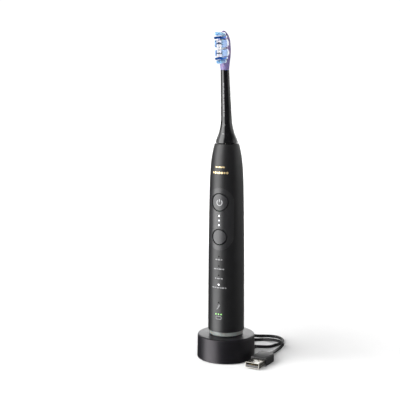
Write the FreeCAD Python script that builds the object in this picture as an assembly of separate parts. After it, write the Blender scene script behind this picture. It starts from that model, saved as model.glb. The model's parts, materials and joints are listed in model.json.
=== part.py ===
import FreeCAD, Part
import math
import os

# Electric toothbrush standing on its round charging puck, with its USB lead.
# Millimetres, +Z up. The origin is the centre of the puck's underside, on the surface it stands on.
# The handle's front, with the buttons and bristles, faces -Y. Each sub-part is parts/NODE.step.

V = FreeCAD.Vector
UP = V(0, 0, 1)
TINY = 0.02  # glued or moulded pieces that share a face
SEAT = 0.1  # light press or snap seats inside one body
RUNNING = 0.05  # radial clearance of a shaft in its bush
SLIP = 0.3  # gap between pieces that slide past each other freely

# Charging puck
PUCK_BASE_R = 24.4
PUCK_TOP_R = 24.0
PUCK_H = 20.2
PUCK_WALL = 1.8
PUCK_TOP_FILLET = 1.5
PUCK_RIM_Z = 0.6  # the wall stops short of the surface
BASE_PLATE_T = 1.1
FOOT_R_OUT = 20.0
FOOT_R_IN = 13.0
FOOT_T = 1.0
POST_R = 3.9
POST_H = 9.0
POST_WALL = 1.0
PRIMARY_R_OUT = 10.0
PRIMARY_H = 6.5
PCB_T = 1.2
PUCK_PCB_Z = 6.6
PUCK_PCB_GAP = 1.2
SPOOL_WALL = 1.0
SPOOL_SETBACK = 2.0  # of the spool's foot below the winding
SPOOL_LIP = 0.6
# left, right, front and back edge of each chip on the charger's board, and its height
PUCK_CHIPS = ((11.5, 16.5, -4, 2, 1.6), (-16, -11.5, -3, 3, 2.2), (-3, 2, 12, 16, 1.2))
PUCK_CANS = ((4.5, -14.5, 2.5, 5.5), (-5.5, -14.5, 2.0, 4.5))  # x, y, radius, height

# Handle
HANDLE_D = 30.4  # at the housing's lower edge
HOUSING_LENGTH = 156.5
HANDLE_WALL = 1.4
NOSE_T = 7.0  # solid nose that carries the shaft seal
NOSE_BORE_R = 6.5
SHAFT_SEAL_Z = 0.4  # above the cavity's top
SHAFT_SEAL_H = 3.4
SHAFT_SEAL_T = 1.0
RETAINER_DEPTH = 0.9  # below the housing's top edge
# outline of the housing: height as a share of its length, diameter as a share of HANDLE_D
HANDLE_OUTLINE = (
    (0.0, 1.0), (0.2, 0.993), (0.393, 0.982), (0.57, 0.963), (0.712, 0.938), (0.847, 0.893),
    (0.907, 0.843), (0.939, 0.8), (0.971, 0.735), (1.0, 0.656),
)
CAP_FLANGE_T = 0.8
CAP_FLANGE_INSET = 1.1
RING_H = 3.5
RING_INSET = 0.85
SOCKET_R = POST_R + SLIP
SOCKET_DEPTH = POST_H + 0.8
SOCKET_WALL = 1.0
SKIRT_T = 1.6
SKIRT_H = 8.2
SEAL_SECTION_R = 0.7

# Controls on the front; heights above the surface
POWER_Z = 133.9
POWER_R = 7.0
MODE_Z = 105.1
MODE_R = 6.15
BUTTON_GROOVE = 0.65
BUTTON_EDGE_T = 0.9
BUTTON_TRAVEL = 0.5
STEM_R = 2.0
PANEL_T = 0.6
PANEL_MARGIN = 4.2  # from the power button's groove to the panel's edge
PANEL_HALF_ANGLE = 50.0
STRENGTH_DOTS_Z = (122.8, 118.9, 115.1)
MODE_DOTS_Z = (88.9, 80.9, 73.1, 65.1)
REMINDER_DOT_Z = 50.1
CHARGE_DOTS_Z = 40.1
CHARGE_DOT_PITCH = 2.4
DOT_R = 0.5
LED_W = 1.4
LED_T = 0.7
SWITCH_W = 5.2
SWITCH_T = 1.1
PLUNGER_R = 1.5
PLUNGER_T = 0.3
SEAL_T = 0.6  # of the sheet behind each button
SEAL_SETBACK = 0.25  # from the end of the button's stem forward to the seal

# Inside the handle
# chips on the back of the board: x, height above the surface, width, height and thickness
BOARD_CHIPS = (
    (-3.4, 41, 4, 4, 0.9), (3, 48, 5, 3, 1.2), (0, 60, 7, 7, 1.0), (-3, 72, 3, 5, 1.2),
    (3.4, 78, 3, 3, 1.6),
)
PCB_SETBACK = 4.15  # from the cavity's front to the board's face, at the board's top
PCB_TOP_Z = 142.0
PCB_EDGE_GAP = 0.3
BATTERY_R = 7.05  # 14500 cell
BATTERY_L = 49.0
BATTERY_EDGE = 0.6
BATTERY_POLE_R = 2.6
BATTERY_POLE_H = 0.5
TAB_W = 4.0
TAB_T = 0.28
TAB_REACH = 3.0  # past the cell's middle
FRAME_PLATE_T = 2.5
RAIL_T = 1.5
DRIVE_FRAME_T = 1.1
SHAFT_R = 2.0
SHAFT_ABOVE_HANDLE = 19.0
TORSION_R = 0.9
BEARING_R = 4.0
BEARING_L = 5.0
ROTOR_L = 13.0
MAGNET_T = 1.4
ARM_T = 2.0
ARM_W = 4.8
COIL_T = 0.8

# Brush head
NECK_GAP = 0.7  # between the handle's nose and the neck
NECK_BEND_H = 18.5  # above the neck's lower edge
NECK_LEAN_LOW = 0.053  # forward shift per unit of height, below the bend
NECK_LEAN_HIGH = 0.08
NECK_WALL = 1.2
# diameter of the neck at each height above its lower edge
NECK_OUTLINE = (
    (0.0, 18.6), (3.8, 16.3), (8.7, 12.6), (13.6, 10.2),
    (18.5, 9.0), (33.3, 8.1), (47.9, 7.3), (59.3, 6.9),
)
NECK_FLARE_SECTIONS = 5  # how many of those make the curved flare
CLIP_WALL = 0.8
CLIP_L = 12.0
CLIP_SLOT_W = 1.0
CLIP_SLOT_H = 7.2
TAG_T = 1.4
TAG_SETBACK = 1.2  # from the neck's lower edge
HEAD_LEAN = 5.0  # degrees
HEAD_BASE_LIFT = 0.35  # lifts the leaning plate's lower edge off the neck
HEAD_FACE_Y = -1.5  # the plate's flat face
HEAD_FACE_START = 5.4  # where the flat face begins, above the plate's lower end
CARRIER_T = 0.8
CARRIER_SHARE = 0.9  # of the plate's half-width
# half-width, half-thickness and squareness of the head plate at each height above its lower end
HEAD_OUTLINE = (
    (0.0, 3.45, 3.4, 2.0), (3.6, 4.1, 2.5, 2.2), (7.0, 4.6, 2.25, 2.6), (10.7, 5.15, 2.2, 3.0),
    (16.0, 5.6, 2.2, 3.0), (19.0, 5.5, 2.2, 3.0), (23.7, 5.15, 2.2, 3.0), (26.8, 4.1, 2.15, 2.8),
    (29.2, 2.6, 1.9, 2.4), (30.6, 1.2, 1.2, 2.0), (31.0, 0.5, 0.5, 2.0),
)
WHITE_TUFT_R = 1.0
WHITE_TUFT_X = 1.2
WHITE_ROWS = (12.6, 15.6, 17.9, 20.2, 23.6)
WHITE_L = 8.0
NAVY_ROWS = ((9.9, 9.4), (26.4, 10.0))  # height on the head, bristle length
NAVY_TUFT_X = 2.4
NAVY_TUFT_R = 0.95
NAVY_BRIDGE_HALF_H = 0.45
NAVY_BRIDGE_GAP = 0.15
BLUE_ENDS = ((7.3, 8.8, 0.0), (28.7, 9.6, 6.0))  # height, bristle length, upward lean in degrees
BLUE_TUFT_X = 1.22
BLUE_TUFT_R = 1.15
GUARD_SPANS = ((11.6, 16.9), (18.6, 24.7))
GUARD_X = 3.2
GUARD_T = 1.1
GUARD_L = 7.7
GUARD_ROUNDING = 0.4

# Lead
CORD_D = 2.6
CORD_R = CORD_D / 2
EXIT_ANGLE = 55.0  # around the puck, from +X
EXIT_Z = 3.8
RELIEF_R = 2.0
RELIEF_TIP_R = 1.6
RELIEF_L = 5.7
RELIEF_HEAD_T = 2.0
RELIEF_HEAD_GAP = 1.0  # from the puck's wall to the head inside it
COIL_X = -21.7
COIL_Y = 43.5
COIL_OUTER_TURN_R = 20.5
COIL_INNER_TURN_R = 9.2
COIL_LAYERS = 2
COIL_TURNS = 8.706  # wound inward on the surface, then outward on top
LEAD_JOINS_AT = 80.0  # where the lead meets the coil's outer turn, degrees from +X
TAIL_LEAVES_AT = -26.0
PLUG_YAW = 3.1
PLUG_X = 36.4  # end of the plug's strain relief
PLUG_Y = 13.2
PLUG_Z = 3.6
PLUG_RELIEF_L = 7.0
PLUG_BODY_L = 18.0
PLUG_BODY_W = 14.0
PLUG_BODY_T = 7.2
SHELL_L = 12.0
SHELL_W = 12.0
SHELL_H = 4.5
SHELL_T = 0.3
TONGUE_T = 1.9
TONGUE_SIDE_GAP = 0.2
CONTACT_W = 1.0
CONTACT_PITCH = 2.3
CONTACT_T = 0.15
CONTACT_COUNT = 4
CONTACT_SETBACK = 1.5  # from the plug's mouth
TONGUE_SETBACK = 0.4
SHELL_ROOT = 4.0  # how far the shell runs back into the body
SHELL_WINDOW_X = 2.9
SHELL_WINDOW_W = 2.2
SHELL_WINDOW_L = 2.4
SHELL_WINDOW_SETBACK = 5.5
PLUG_REAR_ROUNDING = 4.2
PLUG_EDGE_ROUNDING = 1.0

# Places that follow from the sizes above
RING_Z = PUCK_H + CAP_FLANGE_T
HOUSING_Z = RING_Z + RING_H
HANDLE_TOP_Z = HOUSING_Z + HOUSING_LENGTH
NECK_Z = HANDLE_TOP_Z + NECK_GAP
NECK_L = NECK_OUTLINE[-1][0]
NECK_TOP_Z = NECK_Z + NECK_L


def cylinder(r, z0, z1, x=0.0, y=0.0):
    return Part.makeCylinder(r, z1 - z0, V(x, y, z0), UP)


def tube(r_in, r_out, z0, z1, x=0.0, y=0.0):
    return cylinder(r_out, z0, z1, x, y).cut(cylinder(r_in, z0 - 1, z1 + 1, x, y))


def box(x0, x1, y0, y1, z0, z1):
    return Part.makeBox(x1 - x0, y1 - y0, z1 - z0, V(x0, y0, z0))


def cylinder_y(r, y0, y1, x, z):
    return Part.makeCylinder(r, y1 - y0, V(x, y0, z), V(0, 1, 0))


def rounded(solid, radius, wanted):
    """The solid with a fillet on each edge that the test picks."""
    edges = [e for e in solid.Edges if wanted(e)]
    return solid.makeFillet(radius, edges)


def flat_at(edge, z, axis="z"):
    """Whether the whole edge lies at one coordinate."""
    lo = getattr(edge.BoundBox, axis.upper() + "Min")
    hi = getattr(edge.BoundBox, axis.upper() + "Max")
    return abs(lo - z) < 1e-4 and abs(hi - z) < 1e-4


def save(node, solids):
    """Writes one sub-part, which may be a group of separate solids."""
    solids = solids if isinstance(solids, list) else [solids]
    pieces = [piece for solid in solids for piece in solid.removeSplitter().Solids]
    for piece in pieces:
        if not piece.isValid() or piece.Volume < 1e-3:
            raise ValueError("bad solid in " + node)
    shape = pieces[0] if len(pieces) == 1 else Part.makeCompound(pieces)
    shape.exportStep("parts/" + node + ".step")


# ---------------------------------------------------------------- charging puck

RELIEF_NECK_R = RELIEF_R - 0.5
PUCK_INNER_R = PUCK_BASE_R - PUCK_WALL
PUCK_WALL_LEAN = (PUCK_BASE_R - PUCK_TOP_R) / (PUCK_H - PUCK_RIM_Z)
EXIT_DIR = V(math.cos(math.radians(EXIT_ANGLE)), math.sin(math.radians(EXIT_ANGLE)), 0)


def charger_housing():
    body = Part.makeCone(PUCK_BASE_R, PUCK_TOP_R, PUCK_H - PUCK_RIM_Z, V(0, 0, PUCK_RIM_Z), UP)
    body = rounded(body, PUCK_TOP_FILLET, lambda e: flat_at(e, PUCK_H))
    body = body.fuse(cylinder(POST_R, PUCK_H - PUCK_WALL, PUCK_H + POST_H))
    body = rounded(body, PUCK_WALL / 4, lambda e: flat_at(e, PUCK_H + POST_H))
    inside = Part.makeCone(
        PUCK_BASE_R - PUCK_WALL, PUCK_TOP_R - PUCK_WALL, PUCK_H - PUCK_WALL, V(0, 0, 0), UP)
    body = body.cut(inside)
    body = body.cut(cylinder(POST_R - POST_WALL, 0, PUCK_H + POST_H - POST_WALL))
    return body.cut(radial_cylinder(RELIEF_NECK_R + TINY, PUCK_INNER_R - 2, PUCK_BASE_R + 2))


def radial_cylinder(r, r0, r1):
    return Part.makeCylinder(r, r1 - r0, EXIT_DIR * r0 + V(0, 0, EXIT_Z), EXIT_DIR)


def relief_start():
    """Radius of the puck's wall at the top of the strain relief, where it is closest."""
    return PUCK_BASE_R - PUCK_WALL_LEAN * (EXIT_Z - RELIEF_R - PUCK_RIM_Z) + SEAT


def strain_relief():
    """Grommet with a neck through the wall, a head inside it and a tapered tail outside."""
    start = relief_start()
    head_end = PUCK_INNER_R - RELIEF_HEAD_GAP
    tail = Part.makeCone(
        RELIEF_R, RELIEF_TIP_R, RELIEF_L, EXIT_DIR * start + V(0, 0, EXIT_Z), EXIT_DIR)
    neck = radial_cylinder(RELIEF_NECK_R, head_end - RELIEF_HEAD_T / 2, start + RELIEF_L / 4)
    head = radial_cylinder(RELIEF_R, head_end - RELIEF_HEAD_T, head_end)
    return tail.fuse([neck, head])


def build_charger():
    save("charger_housing", charger_housing())
    plate_top = PUCK_RIM_Z + BASE_PLATE_T
    plate = cylinder(PUCK_INNER_R - SEAT - PUCK_WALL_LEAN * 2, PUCK_RIM_Z, plate_top)
    foot_groove = tube(FOOT_R_IN - SEAT, FOOT_R_OUT + SEAT, 0, FOOT_T + TINY)
    save("charger_base_plate", plate.cut(foot_groove))
    save("charger_foot_ring", tube(FOOT_R_IN, FOOT_R_OUT, 0, FOOT_T))

    top = PUCK_H - PUCK_WALL
    core_r = POST_R - POST_WALL - SEAT
    spool_r = POST_R + SPOOL_WALL
    spool_low = top - PRIMARY_H - SPOOL_SETBACK
    flange_z = top - SPOOL_WALL - TINY
    spool = tube(core_r + SEAT, spool_r, spool_low, top - TINY)
    for z in (spool_low, flange_z):
        spool = spool.fuse(tube(core_r + SEAT, PRIMARY_R_OUT + SPOOL_LIP, z, z + SPOOL_WALL))
    save("charger_coil_former", spool)
    save("charger_coil", tube(
        spool_r + TINY, PRIMARY_R_OUT, spool_low + SPOOL_WALL + TINY, flange_z - TINY))
    save("charger_core", cylinder(core_r, spool_low, PUCK_H + POST_H - POST_WALL - SEAT))

    board_top = PUCK_PCB_Z + PCB_T
    board = cylinder(PUCK_INNER_R - PUCK_PCB_GAP, PUCK_PCB_Z, board_top)
    save("charger_board", board)
    post_gap = spool_low - board_top
    chips = [box(*edges, board_top + TINY, board_top + t) for *edges, t in PUCK_CHIPS]
    for x, y, r, height in PUCK_CANS:
        chips.append(cylinder(r, board_top + TINY, board_top + height, x, y))
    if post_gap > 0:
        chips.append(tube(core_r, spool_r, board_top + TINY, spool_low - TINY))
    save("charger_components", chips)
    save("cord_strain_relief", strain_relief())


# ------------------------------------------------------------------------ lead

EXIT_TIP = EXIT_DIR * (relief_start() + RELIEF_L) + V(0, 0, EXIT_Z)


def coil_point(radius, degrees, z):
    a = math.radians(degrees)
    return V(COIL_X + radius * math.cos(a), COIL_Y + radius * math.sin(a), z)


COIL_R_IN = COIL_INNER_TURN_R - CORD_R
COIL_R_OUT = COIL_OUTER_TURN_R + CORD_R
COIL_H = CORD_D * COIL_LAYERS
CROSSING_Z = CORD_R + CORD_D + 0.15

LEAD_ROUTE = (
    EXIT_TIP, V(20.7, 29.6, 2.7), V(24.6, 36.0, 1.3), V(28.3, 43.6, 1.3), V(30.3, 52.4, 1.3),
    V(27.9, 61.4, 1.3), V(20.4, 67.4, 1.3), V(10.8, 66.3, 1.3), V(2.6, 61.6, 1.3),
    V(-7.2, 62.0, 1.3), coil_point(COIL_OUTER_TURN_R, LEAD_JOINS_AT, 1.3),
)
PLUG_END = V(PLUG_X, PLUG_Y, PLUG_Z)
TAIL_ROUTE = (
    coil_point(COIL_OUTER_TURN_R, TAIL_LEAVES_AT, 1.3), V(0.6, 42.6, 1.3), V(5.8, 50.8, 1.3),
    V(14.0, 54.2, 1.6), V(23.6, 48.8, CROSSING_Z), V(32.0, 46.4, CROSSING_Z),
    V(35.8, 41.8, 3.2), V(34.8, 35.4, 1.6), V(34.0, 28.4, 1.4), V(35.3, 20.4, 2.4), PLUG_END,
)


def cord_path(points):
    """Straight runs joined by tangent arcs, each as large as its two runs allow."""
    edges = []
    radii = []
    start = points[0]
    for before, corner, after in zip(points, points[1:], points[2:]):
        back = (before - corner).normalize()
        ahead = (after - corner).normalize()
        turn = math.pi - back.getAngle(ahead)
        reach = 0.45 * min((before - corner).Length, (after - corner).Length)
        radii.append(reach / math.tan(turn / 2))
        enter = corner + back * reach
        leave = corner + ahead * reach
        bisector = (back + ahead).normalize()
        middle = corner + bisector * radii[-1] * (1 / math.cos(turn / 2) - 1)
        edges.append(Part.LineSegment(start, enter).toShape())
        edges.append(Part.Arc(enter, middle, leave).toShape())
        start = leave
    edges.append(Part.LineSegment(start, points[-1]).toShape())
    return Part.Wire(edges), radii


def cord_tube(node, points):
    path, radii = cord_path(points)
    section = Part.Wire(Part.makeCircle(CORD_R, points[0], points[1] - points[0]))
    solid = path.makePipeShell([section], True, False)
    ideal = math.pi * CORD_R ** 2 * path.Length
    print("%s: length %.1f, volume / ideal %.4f, radii %s" % (
        node, path.Length, solid.Volume / ideal, [round(r, 1) for r in radii]))
    save(node, solid)


def build_lead():
    cord_tube("cord_lead", LEAD_ROUTE)
    cord_tube("cord_tail", TAIL_ROUTE)
    coil = tube(COIL_R_IN, COIL_R_OUT, 0, COIL_H, COIL_X, COIL_Y)
    coil = coil.makeFillet(CORD_R * 0.9, coil.Edges)
    save("cord_coil", coil)
    mean_r = (COIL_OUTER_TURN_R + COIL_INNER_TURN_R) / 2
    print("coil: %.1f turns, length %.0f" % (COIL_TURNS, COIL_TURNS * 2 * math.pi * mean_r))


# ------------------------------------------------------------------------- plug


def plug_local(solid):
    """From plug axes, where +Y runs back along the cord and the relief ends at the origin."""
    solid = solid.copy()
    solid.rotate(V(0, 0, 0), UP, -PLUG_YAW)
    solid.translate(PLUG_END)
    return solid


def build_plug():
    body_front = -PLUG_RELIEF_L - PLUG_BODY_L
    mouth = body_front - SHELL_L
    half_w = PLUG_BODY_W / 2
    half_t = PLUG_BODY_T / 2
    body = box(-half_w, half_w, body_front, -PLUG_RELIEF_L, -half_t, half_t)
    body = rounded(body, PLUG_REAR_ROUNDING, lambda e: flat_at(e, -PLUG_RELIEF_L, "y")
                   and abs(e.BoundBox.ZLength - PLUG_BODY_T) < 1e-4)
    body = rounded(body, PLUG_EDGE_ROUNDING, lambda e: e.BoundBox.ZLength < 1e-4)
    relief_root = PLUG_RELIEF_L + SHELL_T
    relief = Part.makeCone(RELIEF_R, RELIEF_TIP_R, relief_root, V(0, -relief_root, 0), V(0, 1, 0))
    body = body.fuse(relief)
    root = body_front + SHELL_ROOT
    shell = box(-SHELL_W / 2, SHELL_W / 2, mouth, root, -SHELL_H / 2, SHELL_H / 2)
    shell = rounded(shell, SHELL_T * 1.6, lambda e: e.BoundBox.YLength > SHELL_L)
    socket = box(-SHELL_W / 2 - TINY, SHELL_W / 2 + TINY, body_front - 1, root + TINY,
                 -SHELL_H / 2 - TINY, SHELL_H / 2 + TINY)
    save("usb_plug_body", plug_local(body.cut(socket)))

    inside = box(SHELL_T - SHELL_W / 2, SHELL_W / 2 - SHELL_T, mouth - 1, root + 1,
                 SHELL_T - SHELL_H / 2, SHELL_H / 2 - SHELL_T)
    shell = shell.cut(inside)
    window_y = mouth + SHELL_WINDOW_SETBACK
    for side in (-1, 1):
        x0 = side * SHELL_WINDOW_X - SHELL_WINDOW_W / 2
        shell = shell.cut(box(x0, x0 + SHELL_WINDOW_W, window_y, window_y + SHELL_WINDOW_L,
                              -SHELL_H, SHELL_H))
    save("usb_shell", plug_local(shell))

    side = SHELL_W / 2 - SHELL_T - TONGUE_SIDE_GAP
    low = SHELL_T - SHELL_H / 2 + TINY
    tongue = box(-side, side, mouth + TONGUE_SETBACK, root, low, low + TONGUE_T)
    save("usb_tongue", plug_local(tongue))
    contacts = []
    for index in range(CONTACT_COUNT):
        x = (index - (CONTACT_COUNT - 1) / 2) * CONTACT_PITCH
        z = low + TONGUE_T + TINY / 2
        contact = box(x - CONTACT_W / 2, x + CONTACT_W / 2, mouth + CONTACT_SETBACK, root,
                      z, z + CONTACT_T)
        contacts.append(plug_local(contact))
    save("usb_contacts", contacts)


# ---------------------------------------------------------------------- handle


def handle_curve(inset):
    """The housing's outline from bottom to top, moved inward."""
    points = []
    for height, width in HANDLE_OUTLINE:
        points.append(V(width * HANDLE_D / 2 - inset, 0, HOUSING_Z + height * HOUSING_LENGTH))
    curve = Part.BSplineCurve()
    curve.interpolate(points)
    return curve


def handle_radius(z, inset=0.0):
    """Radius of the housing at a height, found on its outline."""
    curve = handle_curve(inset)
    low, high = curve.FirstParameter, curve.LastParameter
    for _ in range(40):
        middle = (low + high) / 2
        if curve.value(middle).z < z:
            low = middle
        else:
            high = middle
    return curve.value(low).x


def handle_solid(inset, z0=None, z1=None):
    """Solid of revolution inside the housing's outline, from one height to another."""
    curve = handle_curve(inset)
    first, last = curve.StartPoint, curve.EndPoint
    outline = [
        curve.toShape(),
        Part.LineSegment(last, V(0, 0, last.z)).toShape(),
        Part.LineSegment(V(0, 0, last.z), V(0, 0, first.z)).toShape(),
        Part.LineSegment(V(0, 0, first.z), first).toShape(),
    ]
    solid = Part.Face(Part.Wire(outline)).revolve(V(0, 0, 0), UP, 360)
    z0 = first.z if z0 is None else z0
    z1 = last.z if z1 is None else z1
    return solid.common(cylinder(HANDLE_D, z0, z1))


BUTTONS = {"power_button": (POWER_Z, POWER_R), "mode_button": (MODE_Z, MODE_R)}


def button_back(z, r):
    """Y of the flat back of a button's cap, behind its edge."""
    return BUTTON_EDGE_T - math.sqrt(handle_radius(z) ** 2 - r ** 2)


CAVITY_TOP_Z = HANDLE_TOP_Z - NOSE_T
STEM_TO_BOARD = SWITCH_T + PLUNGER_T + BUTTON_TRAVEL + RUNNING
BUTTON_ROOM = BUTTON_TRAVEL + SEAT + SEAL_SETBACK + STEM_TO_BOARD
PCB_FACE_Y = max(
    PCB_SETBACK - handle_radius(PCB_TOP_Z, HANDLE_WALL),
    max(button_back(z, r) for z, r in BUTTONS.values()) + BUTTON_ROOM)
PCB_BACK_Y = PCB_FACE_Y + PCB_T
PCB_HALF_W = math.sqrt(handle_radius(PCB_TOP_Z, HANDLE_WALL) ** 2 - PCB_FACE_Y ** 2) - PCB_EDGE_GAP
INNER_R = HANDLE_D / 2 - HANDLE_WALL
SKIRT_R = INNER_R - SEAT
SOCKET_TOP_Z = PUCK_H + SOCKET_DEPTH
CHASSIS_Z = SOCKET_TOP_Z + SOCKET_WALL + SEAT
PCB_Z = CHASSIS_Z + 1.0
BATTERY_Z = CHASSIS_Z + FRAME_PLATE_T + 0.8
BATTERY_TOP_Z = BATTERY_Z + BATTERY_L
CHASSIS_TOP_Z = BATTERY_TOP_Z + 0.8 + FRAME_PLATE_T
BATTERY_Y = handle_radius(BATTERY_TOP_Z, HANDLE_WALL) - BATTERY_R - 0.8
PANEL_LOW_Z = MODE_Z - MODE_R - BUTTON_GROOVE - PANEL_MARGIN
PANEL_HIGH_Z = POWER_Z + POWER_R + BUTTON_GROOVE + PANEL_MARGIN


def panel_prism(inset, y0, y1):
    """Upright stadium across the front, as wide as the panel's angle."""
    half_w = handle_radius(POWER_Z) * math.sin(math.radians(PANEL_HALF_ANGLE)) - inset
    low = PANEL_LOW_Z + inset + half_w
    high = PANEL_HIGH_Z - inset - half_w
    prism = box(-half_w, half_w, y0, y1, low, high)
    for z in (low, high):
        prism = prism.fuse(cylinder_y(half_w, y0, y1, 0, z))
    return prism.removeSplitter()


def dot_places():
    """X and Z of each indicator light on the front."""
    places = [(0.0, z) for z in STRENGTH_DOTS_Z + MODE_DOTS_Z + (REMINDER_DOT_Z,)]
    return places + [(step * CHARGE_DOT_PITCH, CHARGE_DOTS_Z) for step in (-1, 0, 1)]


def button_holes(extra=0.0):
    """Cylinders through the front wall, one round each button."""
    holes = []
    for z, r in BUTTONS.values():
        r_hole = r + BUTTON_GROOVE + extra
        holes.append(cylinder_y(r_hole, -HANDLE_D, PCB_FACE_Y - 0.3, 0, z))
    return holes


def build_housing():
    outer = handle_solid(0)
    housing = outer.cut(handle_solid(HANDLE_WALL, HOUSING_Z - 1, CAVITY_TOP_Z))
    housing = housing.cut(cylinder(INNER_R, HOUSING_Z - 1, HOUSING_Z + 0.5))
    housing = housing.cut(cylinder(NOSE_BORE_R, CAVITY_TOP_Z - 1, HANDLE_TOP_Z + 1))
    shallow = handle_solid(PANEL_T)
    recess = panel_prism(0, -HANDLE_D, 0).cut(shallow)
    housing = housing.cut(recess)
    panel = panel_prism(TINY, -HANDLE_D, 0).common(outer).cut(handle_solid(PANEL_T - TINY))
    lights = []
    for hole in button_holes():
        housing = housing.cut(hole)
        panel = panel.cut(hole)
    for x, z in dot_places():
        hole = cylinder_y(DOT_R + TINY, -HANDLE_D, 0, x, z)
        housing = housing.cut(hole)
        panel = panel.cut(hole)
        light = cylinder_y(DOT_R, -HANDLE_D, PCB_FACE_Y - LED_T - TINY, x, z)
        lights.append(light.common(outer))
    save("handle_housing", housing)
    save("control_panel", panel)
    save("light_guides", lights)


def build_buttons():
    """Round caps cut from the handle's own surface, each with a stem towards its switch."""
    stem_end = PCB_FACE_Y - STEM_TO_BOARD
    seals = []
    for node, (z, r) in BUTTONS.items():
        back_y = button_back(z, r)
        cap = cylinder_y(r, -HANDLE_D, back_y, 0, z).common(handle_solid(0))
        save(node, cap.fuse(cylinder_y(STEM_R, back_y - 1, stem_end, 0, z)))
        seal_y = stem_end - SEAL_SETBACK
        seal = cylinder_y(r + BUTTON_GROOVE - SEAT, seal_y, seal_y + SEAL_T, 0, z)
        seals.append(seal.cut(cylinder_y(STEM_R + RUNNING, -HANDLE_D, 0, 0, z)))
    save("button_seals", seals)


def build_board():
    board = box(-PCB_HALF_W, PCB_HALF_W, PCB_FACE_Y, PCB_BACK_Y, PCB_Z, PCB_TOP_Z)
    save("main_board", board)
    leds = []
    for x, z in dot_places():
        leds.append(box(x - LED_W / 2, x + LED_W / 2, PCB_FACE_Y - LED_T, PCB_FACE_Y - TINY,
                        z - LED_W / 2, z + LED_W / 2))
    save("indicator_leds", leds)
    switches = []
    half = SWITCH_W / 2
    for z, _ in BUTTONS.values():
        switch = box(-half, half, PCB_FACE_Y - SWITCH_T, PCB_FACE_Y - TINY, z - half, z + half)
        plunger = cylinder_y(PLUNGER_R, PCB_FACE_Y - SWITCH_T - PLUNGER_T, PCB_FACE_Y - 0.5, 0, z)
        switches.append(switch.fuse(plunger))
    save("tact_switches", switches)
    chips = []
    for x, z, w, h, t in BOARD_CHIPS:
        chips.append(box(x - w / 2, x + w / 2, PCB_BACK_Y + TINY, PCB_BACK_Y + t,
                         z - h / 2, z + h / 2))
    save("board_components", chips)


def build_bottom():
    """End cap with its socket, seal and light ring, and the charging coil round the socket."""
    flange_r = HANDLE_D / 2 - CAP_FLANGE_INSET
    cap = cylinder(flange_r, PUCK_H, RING_Z)
    cap = cap.fuse(cylinder(SKIRT_R, PUCK_H, PUCK_H + 1.8))
    cap = cap.fuse(tube(SKIRT_R - SKIRT_T, SKIRT_R, PUCK_H + 1, PUCK_H + 1 + SKIRT_H))
    cap = cap.fuse(cylinder(SOCKET_R + SOCKET_WALL, PUCK_H, SOCKET_TOP_Z + SOCKET_WALL))
    cap = cap.cut(cylinder(SOCKET_R, PUCK_H - 1, SOCKET_TOP_Z))
    seal_r = SKIRT_R - SEAL_SECTION_R + SEAT / 2
    seal_z = HOUSING_Z + 1.8
    groove = tube(seal_r - SEAL_SECTION_R - TINY, SKIRT_R + 1,
                  seal_z - SEAL_SECTION_R - TINY, seal_z + SEAL_SECTION_R + TINY)
    save("end_cap", cap.cut(groove))
    save("end_cap_seal", Part.makeTorus(seal_r, SEAL_SECTION_R, V(0, 0, seal_z), UP))
    save("light_ring", tube(SKIRT_R + TINY, HANDLE_D / 2 - RING_INSET, RING_Z, HOUSING_Z))
    coil_in = SOCKET_R + SOCKET_WALL + SEAT
    coil_z = PUCK_H + 1.8 + TINY
    coil_top = coil_z + 6.6
    save("receiver_coil", tube(coil_in, SKIRT_R - SKIRT_T - 0.8, coil_z, coil_top))
    save("receiver_core", tube(coil_in, SKIRT_R - SKIRT_T - SEAT, coil_top + TINY, coil_top + 1.3))


def behind_board(solid):
    """Keeps what lies behind the circuit board."""
    return solid.cut(box(-HANDLE_D, HANDLE_D, -HANDLE_D, PCB_BACK_Y + TINY, 0, NECK_TOP_Z))


def build_chassis():
    """Ladder frame: two plates, two rails that carry the board, and the cell between them."""
    low_r = handle_radius(CHASSIS_Z, HANDLE_WALL) - 0.4
    high_r = handle_radius(CHASSIS_TOP_Z, HANDLE_WALL) - SEAT
    frame = cylinder(high_r, CHASSIS_Z, CHASSIS_Z + FRAME_PLATE_T)
    frame = frame.fuse(cylinder(high_r, CHASSIS_TOP_Z - FRAME_PLATE_T, CHASSIS_TOP_Z))
    rail_x = BATTERY_R + 0.7
    for side in (-1, 1):
        x0, x1 = sorted((side * rail_x, side * (rail_x + RAIL_T)))
        frame = frame.fuse(box(x0, x1, PCB_BACK_Y, 3.0, CHASSIS_Z + 0.5, CHASSIS_TOP_Z - 0.5))
    frame = frame.common(cylinder(min(low_r, high_r), CHASSIS_Z, CHASSIS_TOP_Z))
    save("chassis_frame", behind_board(frame))
    cell = cylinder(BATTERY_R, BATTERY_Z, BATTERY_TOP_Z, 0, BATTERY_Y)
    cell = rounded(cell, BATTERY_EDGE, lambda e: flat_at(e, BATTERY_Z) or flat_at(e, BATTERY_TOP_Z))
    pole_top = BATTERY_TOP_Z + BATTERY_POLE_H
    save("battery_cell", cell.fuse(
        cylinder(BATTERY_POLE_R, BATTERY_TOP_Z - TINY, pole_top, 0, BATTERY_Y)))
    tabs = []
    for z0, z1 in ((pole_top + TINY, pole_top + TAB_T), (BATTERY_Z - TAB_T, BATTERY_Z - TINY)):
        tabs.append(box(-TAB_W / 2, TAB_W / 2, PCB_BACK_Y + TINY, BATTERY_Y + TAB_REACH, z0, z1))
    save("battery_tabs", tabs)


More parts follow.
